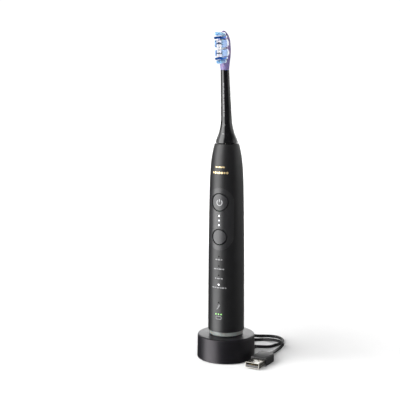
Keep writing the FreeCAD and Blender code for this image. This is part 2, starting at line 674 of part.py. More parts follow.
# Heights of the drive, from the chassis up
ANCHOR_Z = CHASSIS_TOP_Z + TINY
ANCHOR_T = 5.0
STATOR_Z = ANCHOR_Z + ANCHOR_T + 1.0
STATOR_BASE_T = 4.0
WINDING_H = 7.0
ROTOR_Z = STATOR_Z + STATOR_BASE_T + WINDING_H + 1.6
STATOR_TOP_Z = ROTOR_Z + ROTOR_L
LOWER_BEARING_Z = STATOR_TOP_Z + 2.5
TOP_COLLAR_Z = CAVITY_TOP_Z - 8.0
SHAFT_Z = ROTOR_Z + 1.0
SHAFT_TOP_Z = HANDLE_TOP_Z + SHAFT_ABOVE_HANDLE
ROTOR_R = min(5.0, -PCB_BACK_Y - SLIP - 1.2)
FRAME_R = handle_radius(TOP_COLLAR_Z + BEARING_L, HANDLE_WALL) - SEAT
ARM_X = ROTOR_R + 0.45


def build_drive_mount():
    """Fixed side of the drive: cradle, stator, winding, bushes, seal and its retainer."""
    cradle = tube(FRAME_R - DRIVE_FRAME_T, FRAME_R, ANCHOR_Z, TOP_COLLAR_Z + BEARING_L)
    cradle = cradle.cut(box(-HANDLE_D, HANDLE_D, -HANDLE_D, 2.0, 0, NECK_TOP_Z))
    for z, height, bore in ((ANCHOR_Z, ANCHOR_T, TORSION_R + RUNNING),
                            (LOWER_BEARING_Z, BEARING_L, BEARING_R + TINY),
                            (TOP_COLLAR_Z, BEARING_L, BEARING_R + TINY)):
        cradle = cradle.fuse(cylinder(FRAME_R, z, z + height))
        cradle = cradle.cut(cylinder(bore, z - 1, z + height + 1))
    cradle = behind_board(cradle)
    save("drive_cradle", cradle)
    for node, z in (("lower_bush", LOWER_BEARING_Z), ("upper_bush", TOP_COLLAR_Z)):
        save(node, tube(SHAFT_R + RUNNING, BEARING_R, z, z + BEARING_L))

    half_w = ARM_W / 2
    stator = box(-ARM_X - ARM_T, ARM_X + ARM_T, -half_w, half_w, STATOR_Z, STATOR_Z + STATOR_BASE_T)
    windings = []
    coil_z = STATOR_Z + STATOR_BASE_T + 0.2
    for side in (-1, 1):
        x0, x1 = sorted((side * ARM_X, side * (ARM_X + ARM_T)))
        stator = stator.fuse(box(x0, x1, -half_w, half_w, STATOR_Z, STATOR_TOP_Z))
        outer = box(x0 - COIL_T, x1 + COIL_T, -half_w - COIL_T, half_w + COIL_T,
                    coil_z, coil_z + WINDING_H)
        outer = rounded(outer, COIL_T * 0.8, lambda e: e.BoundBox.ZLength > WINDING_H - 0.1)
        hole = box(x0 - TINY, x1 + TINY, -half_w - TINY, half_w + TINY,
                   coil_z - 1, coil_z + WINDING_H + 1)
        windings.append(outer.cut(hole))
    stator = stator.cut(cylinder(TORSION_R + SLIP, STATOR_Z - 1, STATOR_Z + STATOR_BASE_T + 1))
    save("stator_core", stator)
    save("stator_windings", windings)

    seal_low = CAVITY_TOP_Z + SHAFT_SEAL_Z
    seal_top = seal_low + SHAFT_SEAL_H
    seal = tube(SHAFT_R + RUNNING, NOSE_BORE_R - TINY, seal_low, seal_top)
    valley = tube(SHAFT_R + SHAFT_SEAL_T, NOSE_BORE_R - SHAFT_SEAL_T, seal_low + SHAFT_SEAL_T,
                  seal_top + 1)
    save("shaft_seal", seal.cut(valley))
    save("seal_retainer", tube(SHAFT_R + SLIP, NOSE_BORE_R - TINY, seal_top + TINY,
                               HANDLE_TOP_Z - RETAINER_DEPTH))


def build_drive():
    """Moving side of the drive: shaft, yoke, magnets and torsion bar."""
    shaft = cylinder(SHAFT_R, SHAFT_Z, SHAFT_TOP_Z)
    shaft = shaft.makeChamfer(0.5, [e for e in shaft.Edges if flat_at(e, SHAFT_TOP_Z)])
    shaft = shaft.cut(box(-SHAFT_R, SHAFT_R, SHAFT_R * 0.65, SHAFT_R * 2, SHAFT_TOP_Z - 11,
                          SHAFT_TOP_Z - 2))
    yoke_r = ROTOR_R - MAGNET_T
    yoke = cylinder(yoke_r, ROTOR_Z, ROTOR_Z + ROTOR_L).cut(
        cylinder(SHAFT_R + TINY, SHAFT_Z, SHAFT_TOP_Z))
    yoke = yoke.cut(cylinder(TORSION_R + TINY, ROTOR_Z - 1, SHAFT_Z + 1))
    save("drive_shaft", shaft)
    save("rotor_yoke", yoke)
    ring = tube(yoke_r + TINY, ROTOR_R, ROTOR_Z + 0.5, ROTOR_Z + ROTOR_L - 0.5)
    magnets = []
    for side in (-1, 1):
        x0, x1 = sorted((side * 1.2, side * ROTOR_R))
        magnets.append(ring.common(box(x0, x1, -ROTOR_R * 0.8, ROTOR_R * 0.8, 0, NECK_TOP_Z)))
    save("rotor_magnets", magnets)
    save("torsion_bar", cylinder(TORSION_R, ANCHOR_Z + 0.3, SHAFT_Z - TINY))


# ------------------------------------------------------------------- brush head


def neck_centre(z):
    """Point on the neck's middle line, which leans further forward above its bend."""
    height = z - NECK_Z
    shift = NECK_LEAN_LOW * min(height, NECK_BEND_H)
    shift += NECK_LEAN_HIGH * max(height - NECK_BEND_H, 0)
    return V(0, -shift, z)


def neck_loft(sections, straight):
    """Solid through round sections of the neck, with straight or smooth sides."""
    wires = []
    for height, d in sections:
        wires.append(Part.Wire(Part.makeCircle(d / 2, neck_centre(NECK_Z + height), UP)))
    return Part.makeLoft(wires, True, straight)


CLIP_R = SHAFT_R + RUNNING + CLIP_WALL
CLIP_Z = SHAFT_TOP_Z - CLIP_L


def build_neck():
    flare = NECK_OUTLINE[:NECK_FLARE_SECTIONS]
    stem = NECK_OUTLINE[NECK_FLARE_SECTIONS - 1:]
    neck = neck_loft(flare, False).fuse(neck_loft(stem, True))
    mouth = Part.makeCone(NECK_OUTLINE[0][1] / 2 - NECK_WALL, CLIP_R + 0.6, CLIP_Z - NECK_Z - 1,
                          V(0, 0, NECK_Z), UP)
    lip = cylinder(NECK_OUTLINE[0][1] / 2 - NECK_WALL, NECK_Z - 1, NECK_Z)
    bore = cylinder(CLIP_R + TINY, CLIP_Z - 2, SHAFT_TOP_Z + 0.6)
    neck = neck.cut(mouth.fuse([lip, bore]))
    save("neck_sleeve", neck)
    clip = tube(SHAFT_R + RUNNING, CLIP_R, CLIP_Z, SHAFT_TOP_Z)
    slot = box(-CLIP_SLOT_W / 2, CLIP_SLOT_W / 2, -CLIP_R - 1, CLIP_R + 1, CLIP_Z - 1,
               CLIP_Z + CLIP_SLOT_H)
    save("shaft_clip", clip.cut(slot))
    ring_z = NECK_Z + TAG_SETBACK
    ring_r = mouth_radius(ring_z + TAG_T) - SEAT
    save("tag_ring", tube(ring_r - TAG_T, ring_r, ring_z, ring_z + TAG_T))


def mouth_radius(z):
    """Radius of the cone inside the neck at a height."""
    start = NECK_OUTLINE[0][1] / 2 - NECK_WALL
    share = (z - NECK_Z) / (CLIP_Z - NECK_Z - 1)
    return start + (CLIP_R + 0.6 - start) * share


def on_head(solid):
    """From head axes, where the plate stands upright at the origin, to its leaning place."""
    solid = solid.copy()
    solid.rotate(V(0, 0, 0), V(1, 0, 0), HEAD_LEAN)
    solid.translate(neck_centre(NECK_TOP_Z))
    return solid


CARRIER_Y = HEAD_FACE_Y - CARRIER_T
SECTION_POINTS = 28  # round each section of the head plate
CARRIER_Z = BLUE_ENDS[0][0] - BLUE_TUFT_R - 0.6
CARRIER_TOP_Z = BLUE_ENDS[-1][0] + BLUE_TUFT_R + 0.4


def closed_spline(points):
    curve = Part.BSplineCurve()
    curve.interpolate(points, PeriodicFlag=True)
    return Part.Wire(curve.toShape())


def head_section(height, half_w, half_t, squareness):
    """Oval section whose sides are the flatter the squarer it is."""
    points = []
    for step in range(SECTION_POINTS):
        a = 2 * math.pi * step / SECTION_POINTS
        x = math.copysign(abs(math.cos(a)) ** (2 / squareness), math.cos(a)) * half_w
        y = math.copysign(abs(math.sin(a)) ** (2 / squareness), math.sin(a)) * half_t
        points.append(V(x, y, height + HEAD_BASE_LIFT))
    return closed_spline(points)


def head_plate():
    plate = Part.makeLoft([head_section(*row) for row in HEAD_OUTLINE], True, False)
    reach = HEAD_OUTLINE[-1][0] * 2
    return plate.cut(box(-reach, reach, -reach, HEAD_FACE_Y, HEAD_FACE_START, reach))


def tuft_carrier():
    """Thin pad with the plate's own outline, drawn in from its edge."""
    side = [(half_w * CARRIER_SHARE, height) for height, half_w, _, _ in HEAD_OUTLINE
            if CARRIER_Z + 1 < height < CARRIER_TOP_Z]
    points = [V(0, CARRIER_Y, CARRIER_Z)]
    points += [V(x, CARRIER_Y, z) for x, z in side]
    points.append(V(0, CARRIER_Y, CARRIER_TOP_Z))
    points += [V(-x, CARRIER_Y, z) for x, z in reversed(side)]
    return Part.Face(closed_spline(points)).extrude(V(0, CARRIER_T - TINY, 0))


def tuft(x, z, r, length, lean=0.0):
    """Round bundle from the carrier to its tips, which may lean up."""
    a = math.radians(lean)
    solid = Part.makeCylinder(r, length / math.cos(a) + r, V(x, CARRIER_Y, z) - V(
        0, -math.cos(a), math.sin(a)) * r, V(0, -math.cos(a), math.sin(a)))
    reach = length * 3
    return solid.common(box(x - reach, x + reach, CARRIER_Y - length, CARRIER_Y - TINY,
                            z - reach, z + reach))


def pair(x, *sizes):
    """The same tuft on both sides of the middle."""
    return [on_head(tuft(side * x, *sizes)) for side in (-1, 1)]


def gum_guard(side, low, high):
    """Soft wall beside the tufts, from one height to another."""
    x0, x1 = sorted((side * (GUARD_X - GUARD_T / 2), side * (GUARD_X + GUARD_T / 2)))
    guard = box(x0, x1, CARRIER_Y - GUARD_L, CARRIER_Y - TINY, low, high)
    return on_head(rounded(guard, GUARD_ROUNDING, lambda e: flat_at(e, CARRIER_Y - GUARD_L, "y")))


def build_head():
    save("head_plate", on_head(head_plate()))
    save("tuft_carrier", on_head(tuft_carrier()))
    white = []
    for z in WHITE_ROWS:
        white += pair(WHITE_TUFT_X, z, WHITE_TUFT_R, WHITE_L)
    save("white_tufts", white)
    navy = []
    for z, length in NAVY_ROWS:
        navy += pair(NAVY_TUFT_X, z, NAVY_TUFT_R, length)
        inner = NAVY_TUFT_X - NAVY_TUFT_R - NAVY_BRIDGE_GAP
        bridge = box(-inner, inner, CARRIER_Y - length, CARRIER_Y - TINY,
                     z - NAVY_BRIDGE_HALF_H, z + NAVY_BRIDGE_HALF_H)
        navy.append(on_head(bridge))
    save("navy_tufts", navy)
    blue = []
    for z, length, lean in BLUE_ENDS:
        blue += pair(BLUE_TUFT_X, z, BLUE_TUFT_R, length, lean)
    save("light_blue_tufts", blue)
    save("gum_guards", [gum_guard(side, low, high) for low, high in GUARD_SPANS
                        for side in (-1, 1)])


os.makedirs("parts", exist_ok=True)
build_charger()
build_lead()
build_plug()
build_housing()
build_buttons()
build_board()
build_bottom()
build_chassis()
build_drive_mount()
build_drive()
build_neck()
build_head()
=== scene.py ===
import json
import math
import random

import bmesh
import bpy
from mathutils import Matrix, Vector


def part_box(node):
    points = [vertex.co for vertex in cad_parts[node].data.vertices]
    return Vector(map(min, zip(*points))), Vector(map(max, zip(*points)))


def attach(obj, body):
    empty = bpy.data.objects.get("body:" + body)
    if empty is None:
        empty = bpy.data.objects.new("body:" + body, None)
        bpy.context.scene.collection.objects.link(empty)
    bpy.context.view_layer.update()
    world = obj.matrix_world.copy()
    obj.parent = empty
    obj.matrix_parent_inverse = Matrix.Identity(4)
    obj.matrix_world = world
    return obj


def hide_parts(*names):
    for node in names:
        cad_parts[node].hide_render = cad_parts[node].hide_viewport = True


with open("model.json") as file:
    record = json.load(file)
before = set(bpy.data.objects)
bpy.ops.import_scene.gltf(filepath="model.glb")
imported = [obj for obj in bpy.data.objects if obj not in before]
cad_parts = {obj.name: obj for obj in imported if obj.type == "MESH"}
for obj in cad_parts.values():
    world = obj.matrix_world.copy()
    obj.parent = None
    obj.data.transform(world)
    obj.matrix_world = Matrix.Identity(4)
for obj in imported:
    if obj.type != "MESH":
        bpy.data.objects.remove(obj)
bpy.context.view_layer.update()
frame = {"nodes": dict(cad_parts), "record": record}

# Electric toothbrush on its charging puck. Metres; +Z up; the handle's front faces -Y.

MM = 0.001
RNG = random.Random(7)
SHARP = math.radians(38)


# ---- node helpers


def put(target, value):
    """A value, or another node's output, for one socket."""
    if isinstance(value, bpy.types.NodeSocket):
        target.id_data.links.new(value, target)
    else:
        target.default_value = value


def set_inputs(node, **values):
    """Values or outputs for a node's sockets, whose names have an underscore for each space."""
    for socket, value in values.items():
        put(node.inputs[socket.replace("_", " ")], value)


def add_node(tree, kind, **values):
    """Shader node of a kind, with what goes into it."""
    node = tree.nodes.new("ShaderNode" + kind)
    set_inputs(node, **values)
    return node


def new_material(name):
    """Material with one Principled shader, with its shader and object coordinates."""
    material = bpy.data.materials.new(name)
    material.use_nodes = True
    tree = material.node_tree
    return material, tree.nodes["Principled BSDF"], add_node(tree, "TexCoord").outputs["Object"]


def noise_value(place, size, detail=3.0):
    """Noise whose features are about `size` metres across."""
    node = add_node(place.id_data, "TexNoise", Vector=place, Scale=1.0 / size, Detail=detail,
                    Roughness=0.55)
    return node.outputs["Fac"]


def spread(value, low, high, out_low, out_high):
    """The value mapped from one range to another, held inside it."""
    node = add_node(value.id_data, "MapRange", Value=value, From_Min=low, From_Max=high,
                    To_Min=out_low, To_Max=out_high)
    return node.outputs["Result"]


def two_colours(value, first, second):
    """Blend of two colours, from the first at 0 to the second at 1."""
    node = add_node(value.id_data, "Mix")
    node.data_type = "RGBA"
    set_inputs(node, Factor=value, A=(*first, 1.0), B=(*second, 1.0))
    return node.outputs["Result"]


def bump(height, depth):
    """Surface direction of a relief so many metres deep."""
    node = add_node(height.id_data, "Bump", Height=height, Distance=depth, Strength=1.0)
    return node.outputs["Normal"]


def moulded(name, dark, light, rough, grain=0.2, depth=0.01, cloud=9, **sockets):
    """Moulded plastic or rubber: slow colour cloud, uneven gloss and a fine grain, sized in mm."""
    material, shader, place = new_material(name)
    cloudy = spread(noise_value(place, cloud * MM), 0.3, 0.7, 0.0, 1.0)
    patch = noise_value(place, cloud * MM * 0.4)
    set_inputs(shader, Base_Color=two_colours(cloudy, dark, light),
               Roughness=spread(patch, 0.25, 0.75, *rough),
               Normal=bump(noise_value(place, grain * MM, 2.0), depth * MM), **sockets)
    return material


def metal(name, dark, light, rough, streak=(1.0, 1.0, 1.0)):
    """Metal with fine streaks drawn out along one axis and slightly uneven gloss."""
    material, shader, place = new_material(name)
    stretched = add_node(place.id_data, "Mapping", Vector=place, Scale=streak).outputs["Vector"]
    lines = noise_value(stretched, 0.35 * MM, 4.0)
    set_inputs(shader, Base_Color=two_colours(lines, dark, light), Metallic=1.0,
               Roughness=spread(lines, 0.3, 0.7, *rough), Normal=bump(lines, 0.004 * MM))
    return material


def glowing(name, colour, strength):
    """Small light seen through a window that is frosted unevenly."""
    material, shader, place = new_material(name)
    frost = spread(noise_value(place, 0.3 * MM), 0.3, 0.7, strength * 0.85, strength)
    set_inputs(shader, Base_Color=(*colour, 1.0), Emission_Color=(*colour, 1.0),
               Emission_Strength=frost, Roughness=0.35)
    return material


def winding(name):
    """Enamelled copper wire laid in rows, one above the other, with painted shade between the rows
    and a painted highlight along each row.
    """
    material, shader, place = new_material(name)
    rows = add_node(place.id_data, "TexWave", Vector=place, Scale=1.0 / (3.2 * MM),
                    Distortion=0.4)
    rows.wave_type = "BANDS"
    rows.bands_direction = "Z"
    wire_relief_and_shade = rows.outputs["Fac"]
    # painted shade and highlight: dark copper in the grooves between rows, bright copper along each
    # row
    set_inputs(shader, Base_Color=two_colours(wire_relief_and_shade, (0.28, 0.09, 0.03), (0.85, 0.42, 0.2)),
               Metallic=0.85, Roughness=0.3, Normal=bump(wire_relief_and_shade, 0.12 * MM))
    return material


def circuit_board(name):
    """Green solder mask over faint copper traces."""
    material, shader, place = new_material(name)
    traces = add_node(place.id_data, "TexBrick", Vector=place, Scale=1.0 / (5 * MM),
                      Mortar_Size=0.03, Color1=(0.005, 0.09, 0.03, 1),
                      Color2=(0.008, 0.13, 0.045, 1), Mortar=(0.05, 0.3, 0.1, 1))
    set_inputs(shader, Base_Color=traces.outputs["Color"], Roughness=0.3,
               Normal=bump(traces.outputs["Fac"], 0.03 * MM))
    return material


def bristle(name, root, tip, low, high):
    """Nylon filament whose colour runs from its root to its tip along -Y."""
    material, shader, place = new_material(name)
    height = add_node(place.id_data, "SeparateXYZ", Vector=place).outputs["Y"]
    along = spread(height, low, high, 1.0, 0.0)
    fine = spread(noise_value(place, 0.4 * MM), 0.3, 0.7, 0.28, 0.4)
    set_inputs(shader, Base_Color=two_colours(along, root, tip), Roughness=fine,
               Subsurface_Weight=0.25, Subsurface_Radius=(0.6, 0.6, 0.8),
               Subsurface_Scale=0.6 * MM)
    return material


HEAD_TIP_Y = -19 * MM  # forward reach of the bristles' tips and of their roots
HEAD_ROOT_Y = -8 * MM

MATERIALS = {
    "soft_black": moulded("soft_touch_black", (0.0055, 0.0055, 0.006), (0.0075, 0.0075, 0.0082),
                          (0.38, 0.45), grain=0.16, depth=0.008, Specular_IOR_Level=0.36),
    "panel_black": moulded("satin_silicone", (0.0105, 0.0105, 0.0115), (0.013, 0.013, 0.014),
                           (0.33, 0.38), grain=0.12, depth=0.006, Specular_IOR_Level=0.46),
    "puck_black": moulded("puck_satin_black", (0.005, 0.005, 0.006), (0.0068, 0.0065, 0.008),
                          (0.33, 0.4), grain=0.2, depth=0.01,
                          Specular_IOR_Level=0.26, Specular_Tint=(1.0, 0.94, 1.0, 1.0)),
    "gloss_black": moulded("gloss_black", (0.003, 0.003, 0.0035), (0.005, 0.005, 0.0055),
                           (0.05, 0.09), grain=2.5, depth=0.004, Coat_Weight=0.1,
                           Specular_IOR_Level=0.38),
    "ring_grey": moulded("ring_grey", (0.155, 0.17, 0.16), (0.19, 0.2, 0.19), (0.3, 0.4),
                         Subsurface_Weight=0.12, Subsurface_Scale=1.5 * MM),
    "rubber_black": moulded("rubber_black", (0.012, 0.012, 0.012), (0.02, 0.02, 0.02), (0.5, 0.65)),
    "cord_black": moulded("cord_black", (0.003, 0.003, 0.0035), (0.006, 0.006, 0.0065),
                          (0.45, 0.55), grain=0.5, depth=0.02, Specular_IOR_Level=0.16),
    "plug_black": moulded("plug_black", (0.008, 0.008, 0.0085), (0.013, 0.013, 0.0135),
                          (0.42, 0.52), grain=0.25, depth=0.03, Specular_IOR_Level=0.3),
    "steel": metal("bright_steel", (0.15, 0.142, 0.124), (0.26, 0.25, 0.22), (0.22, 0.32),
                   streak=(1.0, 0.08, 1.0)),
    "contact_gold": metal("contact_gold", (0.75, 0.5, 0.18), (0.95, 0.72, 0.32), (0.15, 0.25)),
    "copper_wire": winding("copper_rows"),
    "ferrite": moulded("ferrite", (0.03, 0.03, 0.032), (0.06, 0.06, 0.065), (0.4, 0.6),
                       grain=0.4, depth=0.03),
    "board_green": circuit_board("circuit_board"),
    "chip_black": moulded("chip_black", (0.012, 0.012, 0.013), (0.022, 0.022, 0.024), (0.4, 0.55)),
    "white_plastic": moulded("white_plastic", (0.72, 0.73, 0.75), (0.8, 0.81, 0.83), (0.3, 0.4),
                             Subsurface_Weight=0.2, Subsurface_Scale=1 * MM),
    "clear_light": moulded("clear_light", (0.5, 0.52, 0.52), (0.62, 0.64, 0.64), (0.15, 0.25)),
    "cell_wrap": moulded("cell_wrap", (0.02, 0.09, 0.26), (0.03, 0.13, 0.34), (0.2, 0.3),
                         grain=3, depth=0.03),
    "inner_grey": moulded("inner_grey", (0.16, 0.16, 0.17), (0.22, 0.22, 0.23), (0.4, 0.55)),
    "bronze": metal("sintered_bronze", (0.3, 0.18, 0.08), (0.5, 0.32, 0.14), (0.35, 0.5)),
    "magnet_nickel": metal("magnet_nickel", (0.5, 0.5, 0.5), (0.66, 0.66, 0.65), (0.15, 0.25)),
    "head_purple": moulded("head_purple", (0.14, 0.105, 0.25), (0.2, 0.16, 0.33), (0.34, 0.42),
                           grain=1.5, depth=0.01, cloud=4, Transmission_Weight=0.2,
                           Subsurface_Weight=0.35, Subsurface_Scale=2 * MM,
                           Specular_IOR_Level=0.35),
    # painted shade: the white filaments are a little darker towards their roots, down inside the
    # tufts
    "bristle_white": bristle("white_filaments", (0.88, 0.89, 0.93), (0.97, 0.96, 0.98),
                             HEAD_TIP_Y, HEAD_ROOT_Y),
    "bristle_navy": bristle("navy_filaments", (0.13, 0.32, 0.85), (0.005, 0.1, 0.38),
                            HEAD_TIP_Y * 0.9, HEAD_ROOT_Y * 1.2),
    "bristle_blue": bristle("light_blue_filaments", (0.3, 0.5, 0.8), (0.47, 0.72, 0.94),
                            HEAD_TIP_Y * 0.9, HEAD_ROOT_Y * 1.2),
    "guard_blue": bristle("guard_blue", (0.33, 0.49, 0.8), (0.2, 0.44, 0.58),
                          HEAD_TIP_Y * 0.94, HEAD_TIP_Y * 0.75),
    "button_black": moulded("button_satin", (0.012, 0.012, 0.0135), (0.016, 0.016, 0.0175),
                            (0.34, 0.4), grain=0.12, depth=0.005, Specular_IOR_Level=0.48),
    "mark_neck": moulded("mark_neck", (0.09, 0.09, 0.095), (0.14, 0.14, 0.145), (0.2, 0.3)),
    "mark_grey": moulded("mark_grey", (0.14, 0.14, 0.145), (0.18, 0.18, 0.185), (0.45, 0.55)),
    "mark_pale": moulded("mark_pale", (0.26, 0.26, 0.27), (0.32, 0.32, 0.33), (0.4, 0.5)),
    "mark_gold": moulded("mark_gold", (0.55, 0.42, 0.2), (0.72, 0.57, 0.32), (0.25, 0.35),
                         Metallic=0.6),
    "dark_dot": moulded("unlit_dot", (0.001, 0.001, 0.0012), (0.002, 0.002, 0.0022), (0.6, 0.7),
                        Specular_IOR_Level=0.08),
    "lit_white": glowing("lit_white", (1.0, 1.0, 1.0), 1.6),
    "lit_dim": glowing("lit_dim", (0.9, 0.92, 1.0), 0.7),
    "lit_faint": glowing("lit_faint", (0.9, 0.92, 1.0), 0.3),
    "lit_green": glowing("lit_green", (0.2, 0.5, 0.13), 0.3),
}

# The CAD nodes that stay as they are take the material of their slot in the record.
for entry in frame["record"]["subparts"]:
    node_object = frame["nodes"][entry["node"]]
    node_object.data.materials.clear()
    node_object.data.materials.append(MATERIALS[entry["material_slot"]])


# ---- mesh helpers

ROUND = 96  # points round most turned pieces
AXIS_R = 1e-7  # a ring smaller than this is one point on the axis


def add_object(name, data):
    """Object for a mesh, curve, light or camera, linked to the scene."""
    made = bpy.data.objects.new(name, data)
    bpy.context.scene.collection.objects.link(made)
    return made


def mesh_from(bm, name):
    """Mesh with a bmesh's faces, after which the bmesh is gone."""
    mesh = bpy.data.meshes.new(name)
    bm.to_mesh(mesh)
    bm.free()
    return mesh


def piece_from(bm, name, body, material, replaces=()):
    """Object from a bmesh, smooth apart from its sharp edges, riding on a body."""
    bmesh.ops.recalc_face_normals(bm, faces=bm.faces)
    for edge in bm.edges:
        edge.smooth = len(edge.link_faces) != 2 or edge.calc_face_angle(0.0) < SHARP
    for face in bm.faces:
        face.smooth = True
    piece = add_object(name, mesh_from(bm, name))
    piece.data.materials.append(MATERIALS[material])
    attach(piece, body)
    if replaces:
        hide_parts(*replaces)
    return piece


def angles(count):
    """Evenly spaced angles, once round."""
    return [2 * math.pi * i / count for i in range(count)]


def circle(x, z, r, count):
    """Points of a circle, anticlockwise from its right."""
    return [(x + r * math.cos(a), z + r * math.sin(a)) for a in angles(count)]


def skin(bm, *rings):
    """Faces between closed rings of as many points, where a ring may repeat one point."""
    for first, second in zip(rings, rings[1:]):
        for i in range(len(first)):
            j = (i + 1) % len(first)
            corners = dict.fromkeys((first[i], first[j], second[j], second[i]))
            if len(corners) > 2:
                bm.faces.new(tuple(corners))


def capped(bm, *rings):
    """Solid through closed rings, with a face on its first and last."""
    bm.faces.new(rings[0])
    skin(bm, *rings)
    bm.faces.new(rings[-1])


def rounded_profile(corners, steps):
    """Outline of (radius, height) corners, each with its own rounding."""
    points = []
    for i, (r, z, rounding) in enumerate(corners):
        here = Vector((r, z))
        if rounding <= 0 or i in (0, len(corners) - 1):
            points.append(here)
            continue
        start, end = (here + (Vector(corners[j][:2]) - here).normalized() * rounding
                      for j in (i - 1, i + 1))
        for step in range(steps + 1):
            t = step / steps
            points.append(start.lerp(here, t).lerp(here.lerp(end, t), t))
    return points


def lathe(bm, profile, segments, place=Matrix.Identity(4)):
    """Surface of revolution about Z through (radius, height) points."""
    rings = []
    for r, z in profile:
        if r < AXIS_R:
            rings.append([bm.verts.new(place @ Vector((0, 0, z)))] * segments)
        else:
            rings.append([bm.verts.new(place @ Vector((r * math.sin(a), -r * math.cos(a), z)))
                          for a in angles(segments)])
    skin(bm, *rings)


def turned(bm, corners, steps, segments, place=Matrix.Identity(4)):
    """Surface of revolution with (radius, height, rounding) corners in millimetres."""
    scaled = [(r * MM, z * MM, rounding * MM) for r, z, rounding in corners]
    lathe(bm, rounded_profile(scaled, steps), segments, place)


def smooth_through(table):
    """Function through the (x, y) rows of a table, in cubic pieces."""
    xs, ys = zip(*table)
    slopes = []
    for i in range(len(xs)):
        a = max(i - 1, 0)
        b = min(i + 1, len(xs) - 1)
        slopes.append((ys[b] - ys[a]) / (xs[b] - xs[a]))

    def value(x):
        x = min(max(x, xs[0]), xs[-1])
        i = min(sum(1 for other in xs[1:-1] if other <= x), len(xs) - 2)
        width = xs[i + 1] - xs[i]
        t = (x - xs[i]) / width
        h00 = 2 * t ** 3 - 3 * t ** 2 + 1
        h10 = t ** 3 - 2 * t ** 2 + t
        h01 = 3 * t ** 2 - 2 * t ** 3
        h11 = t ** 3 - t ** 2
        return h00 * ys[i] + h10 * width * slopes[i] + h01 * ys[i + 1] + h11 * width * slopes[i + 1]

    return value


def arc(x, z, r, first, last, steps=36):
    """Points along an arc between two angles in degrees."""
    turns = [math.radians(first + (last - first) * i / steps) for i in range(steps + 1)]
    return [(x + r * math.cos(a), z + r * math.sin(a)) for a in turns]


def rounded_box(half_w, half_h, r, steps, z=0.0):
    """Points of a rectangle with round corners, about a height on the middle line."""
    points = []
    for side, up, start in ((1, 1, 0), (-1, 1, 90), (-1, -1, 180), (1, -1, 270)):
        points += arc(side * (half_w - r), z + up * (half_h - r), r, start, start + 90, steps)
    return points


# ---- camera

VIEW_AZIMUTH = math.radians(26.5)
VIEW_PITCH = math.radians(8.46)
VIEW_DISTANCE = 0.780
VIEW_HEIGHT = 0.250
VIEW_LEFT = 0.0221
FOCAL = 950 / 400  # in picture widths


def build_camera():
    """Camera in front, a little to the right and above the brush's middle."""
    data = bpy.data.cameras.new("camera")
    data.sensor_width = 36.0
    data.lens = FOCAL * data.sensor_width
    data.clip_end = 20.0
    camera = add_object("camera", data)
    towards = Vector((math.sin(VIEW_AZIMUTH), -math.cos(VIEW_AZIMUTH), 0))
    right = Vector((math.cos(VIEW_AZIMUTH), math.sin(VIEW_AZIMUTH), 0))
    camera.location = towards * VIEW_DISTANCE - right * VIEW_LEFT + Vector((0, 0, VIEW_HEIGHT))
    camera.rotation_euler = (math.pi / 2 - VIEW_PITCH, 0, VIEW_AZIMUTH)
    bpy.context.scene.camera = camera


# ---- lead

CORD_D = 2.6 * MM
CROSSING_Z = 4.05
COIL_CENTRE = (-21.7, 43.5)
COIL_TURN_R = (20.5, 9.2)  # outer and inner turn
COIL_TURNS = 8.706
COIL_START = 80.0
COIL_LAYERS_Z = (1.3, 3.9)
COIL_CLIMB = (0.485, 0.03)  # share of the coil where the cord climbs, and how much it takes
POINTS_PER_TURN = 16
LEAD_ROUTE = (
    (20.7, 29.6, 2.7), (24.6, 36.0, 1.3), (28.3, 43.6, 1.3), (30.3, 52.4, 1.3), (27.9, 61.4, 1.3),
    (20.4, 67.4, 1.3), (10.8, 66.3, 1.3), (2.6, 61.6, 1.3), (-7.2, 62.0, 1.3),
)
TAIL_ROUTE = (
    (0.6, 42.6, 2.2), (5.8, 50.8, 1.3), (14.0, 54.2, 1.6), (23.6, 48.8, CROSSING_Z),
    (32.0, 46.4, CROSSING_Z), (35.8, 41.8, 3.2), (34.8, 35.4, 1.6), (34.0, 28.4, 1.4),
    (35.3, 20.4, 2.4),
)
PLUG_END = Vector((36.4, 13.2, 3.6)) * MM
PLUG_YAW = math.radians(3.1)
EXIT_ANGLE = math.radians(55)
EXIT_DIR = Vector((math.cos(EXIT_ANGLE), math.sin(EXIT_ANGLE), 0))
EXIT_Z = 3.8 * MM
# how far along its axis each point of the CAD's strain relief is
RELIEF_REACH = [v.co.dot(EXIT_DIR) for v in frame["nodes"]["cord_strain_relief"].data.vertices]


def relief_tip():
    """Outer end of the strain relief's axis."""
    return EXIT_DIR * max(RELIEF_REACH) + Vector((0, 0, EXIT_Z))


def coil_points():
    """Turns wound inward on the surface, then outward on top of them."""
    points = []
    outer, inner = COIL_TURN_R
    low, high = COIL_LAYERS_Z
    climb_at, climb = COIL_CLIMB
    steps = int(COIL_TURNS * POINTS_PER_TURN)
    for step in range(steps + 1):
        share = step / steps
        angle = math.radians(COIL_START) + 2 * math.pi * COIL_TURNS * share
        inward = abs(1 - 2 * share)
        r = inner + (outer - inner) * inward
        lift = min(max((share - climb_at) / climb, 0.0), 1.0)
        points.append((COIL_CENTRE[0] + r * math.cos(angle),
                       COIL_CENTRE[1] + r * math.sin(angle), low + (high - low) * lift))
    return points


def build_cord():
    """The whole cord as one curve, from the relief's tip to the plug."""
    route = [Vector(p) * MM for p in (*LEAD_ROUTE, *coil_points(), *TAIL_ROUTE)]
    points = [relief_tip(), *route, PLUG_END]
    curve = bpy.data.curves.new("cord", "CURVE")
    curve.dimensions = "3D"
    spline = curve.splines.new("NURBS")
    spline.points.add(len(points) - 1)
    for target, point in zip(spline.points, points):
        target.co = (*point, 1.0)
    spline.order_u = 3
    spline.use_endpoint_u = True
    curve.bevel_depth = CORD_D / 2
    curve.bevel_resolution = 5
    curve.resolution_u = 8
    curve.use_fill_caps = True
    curve.materials.append(MATERIALS["cord_black"])
    cord = add_object("usb_cord", curve)
    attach(cord, "charger")
    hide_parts("cord_lead", "cord_coil", "cord_tail")
    return cord


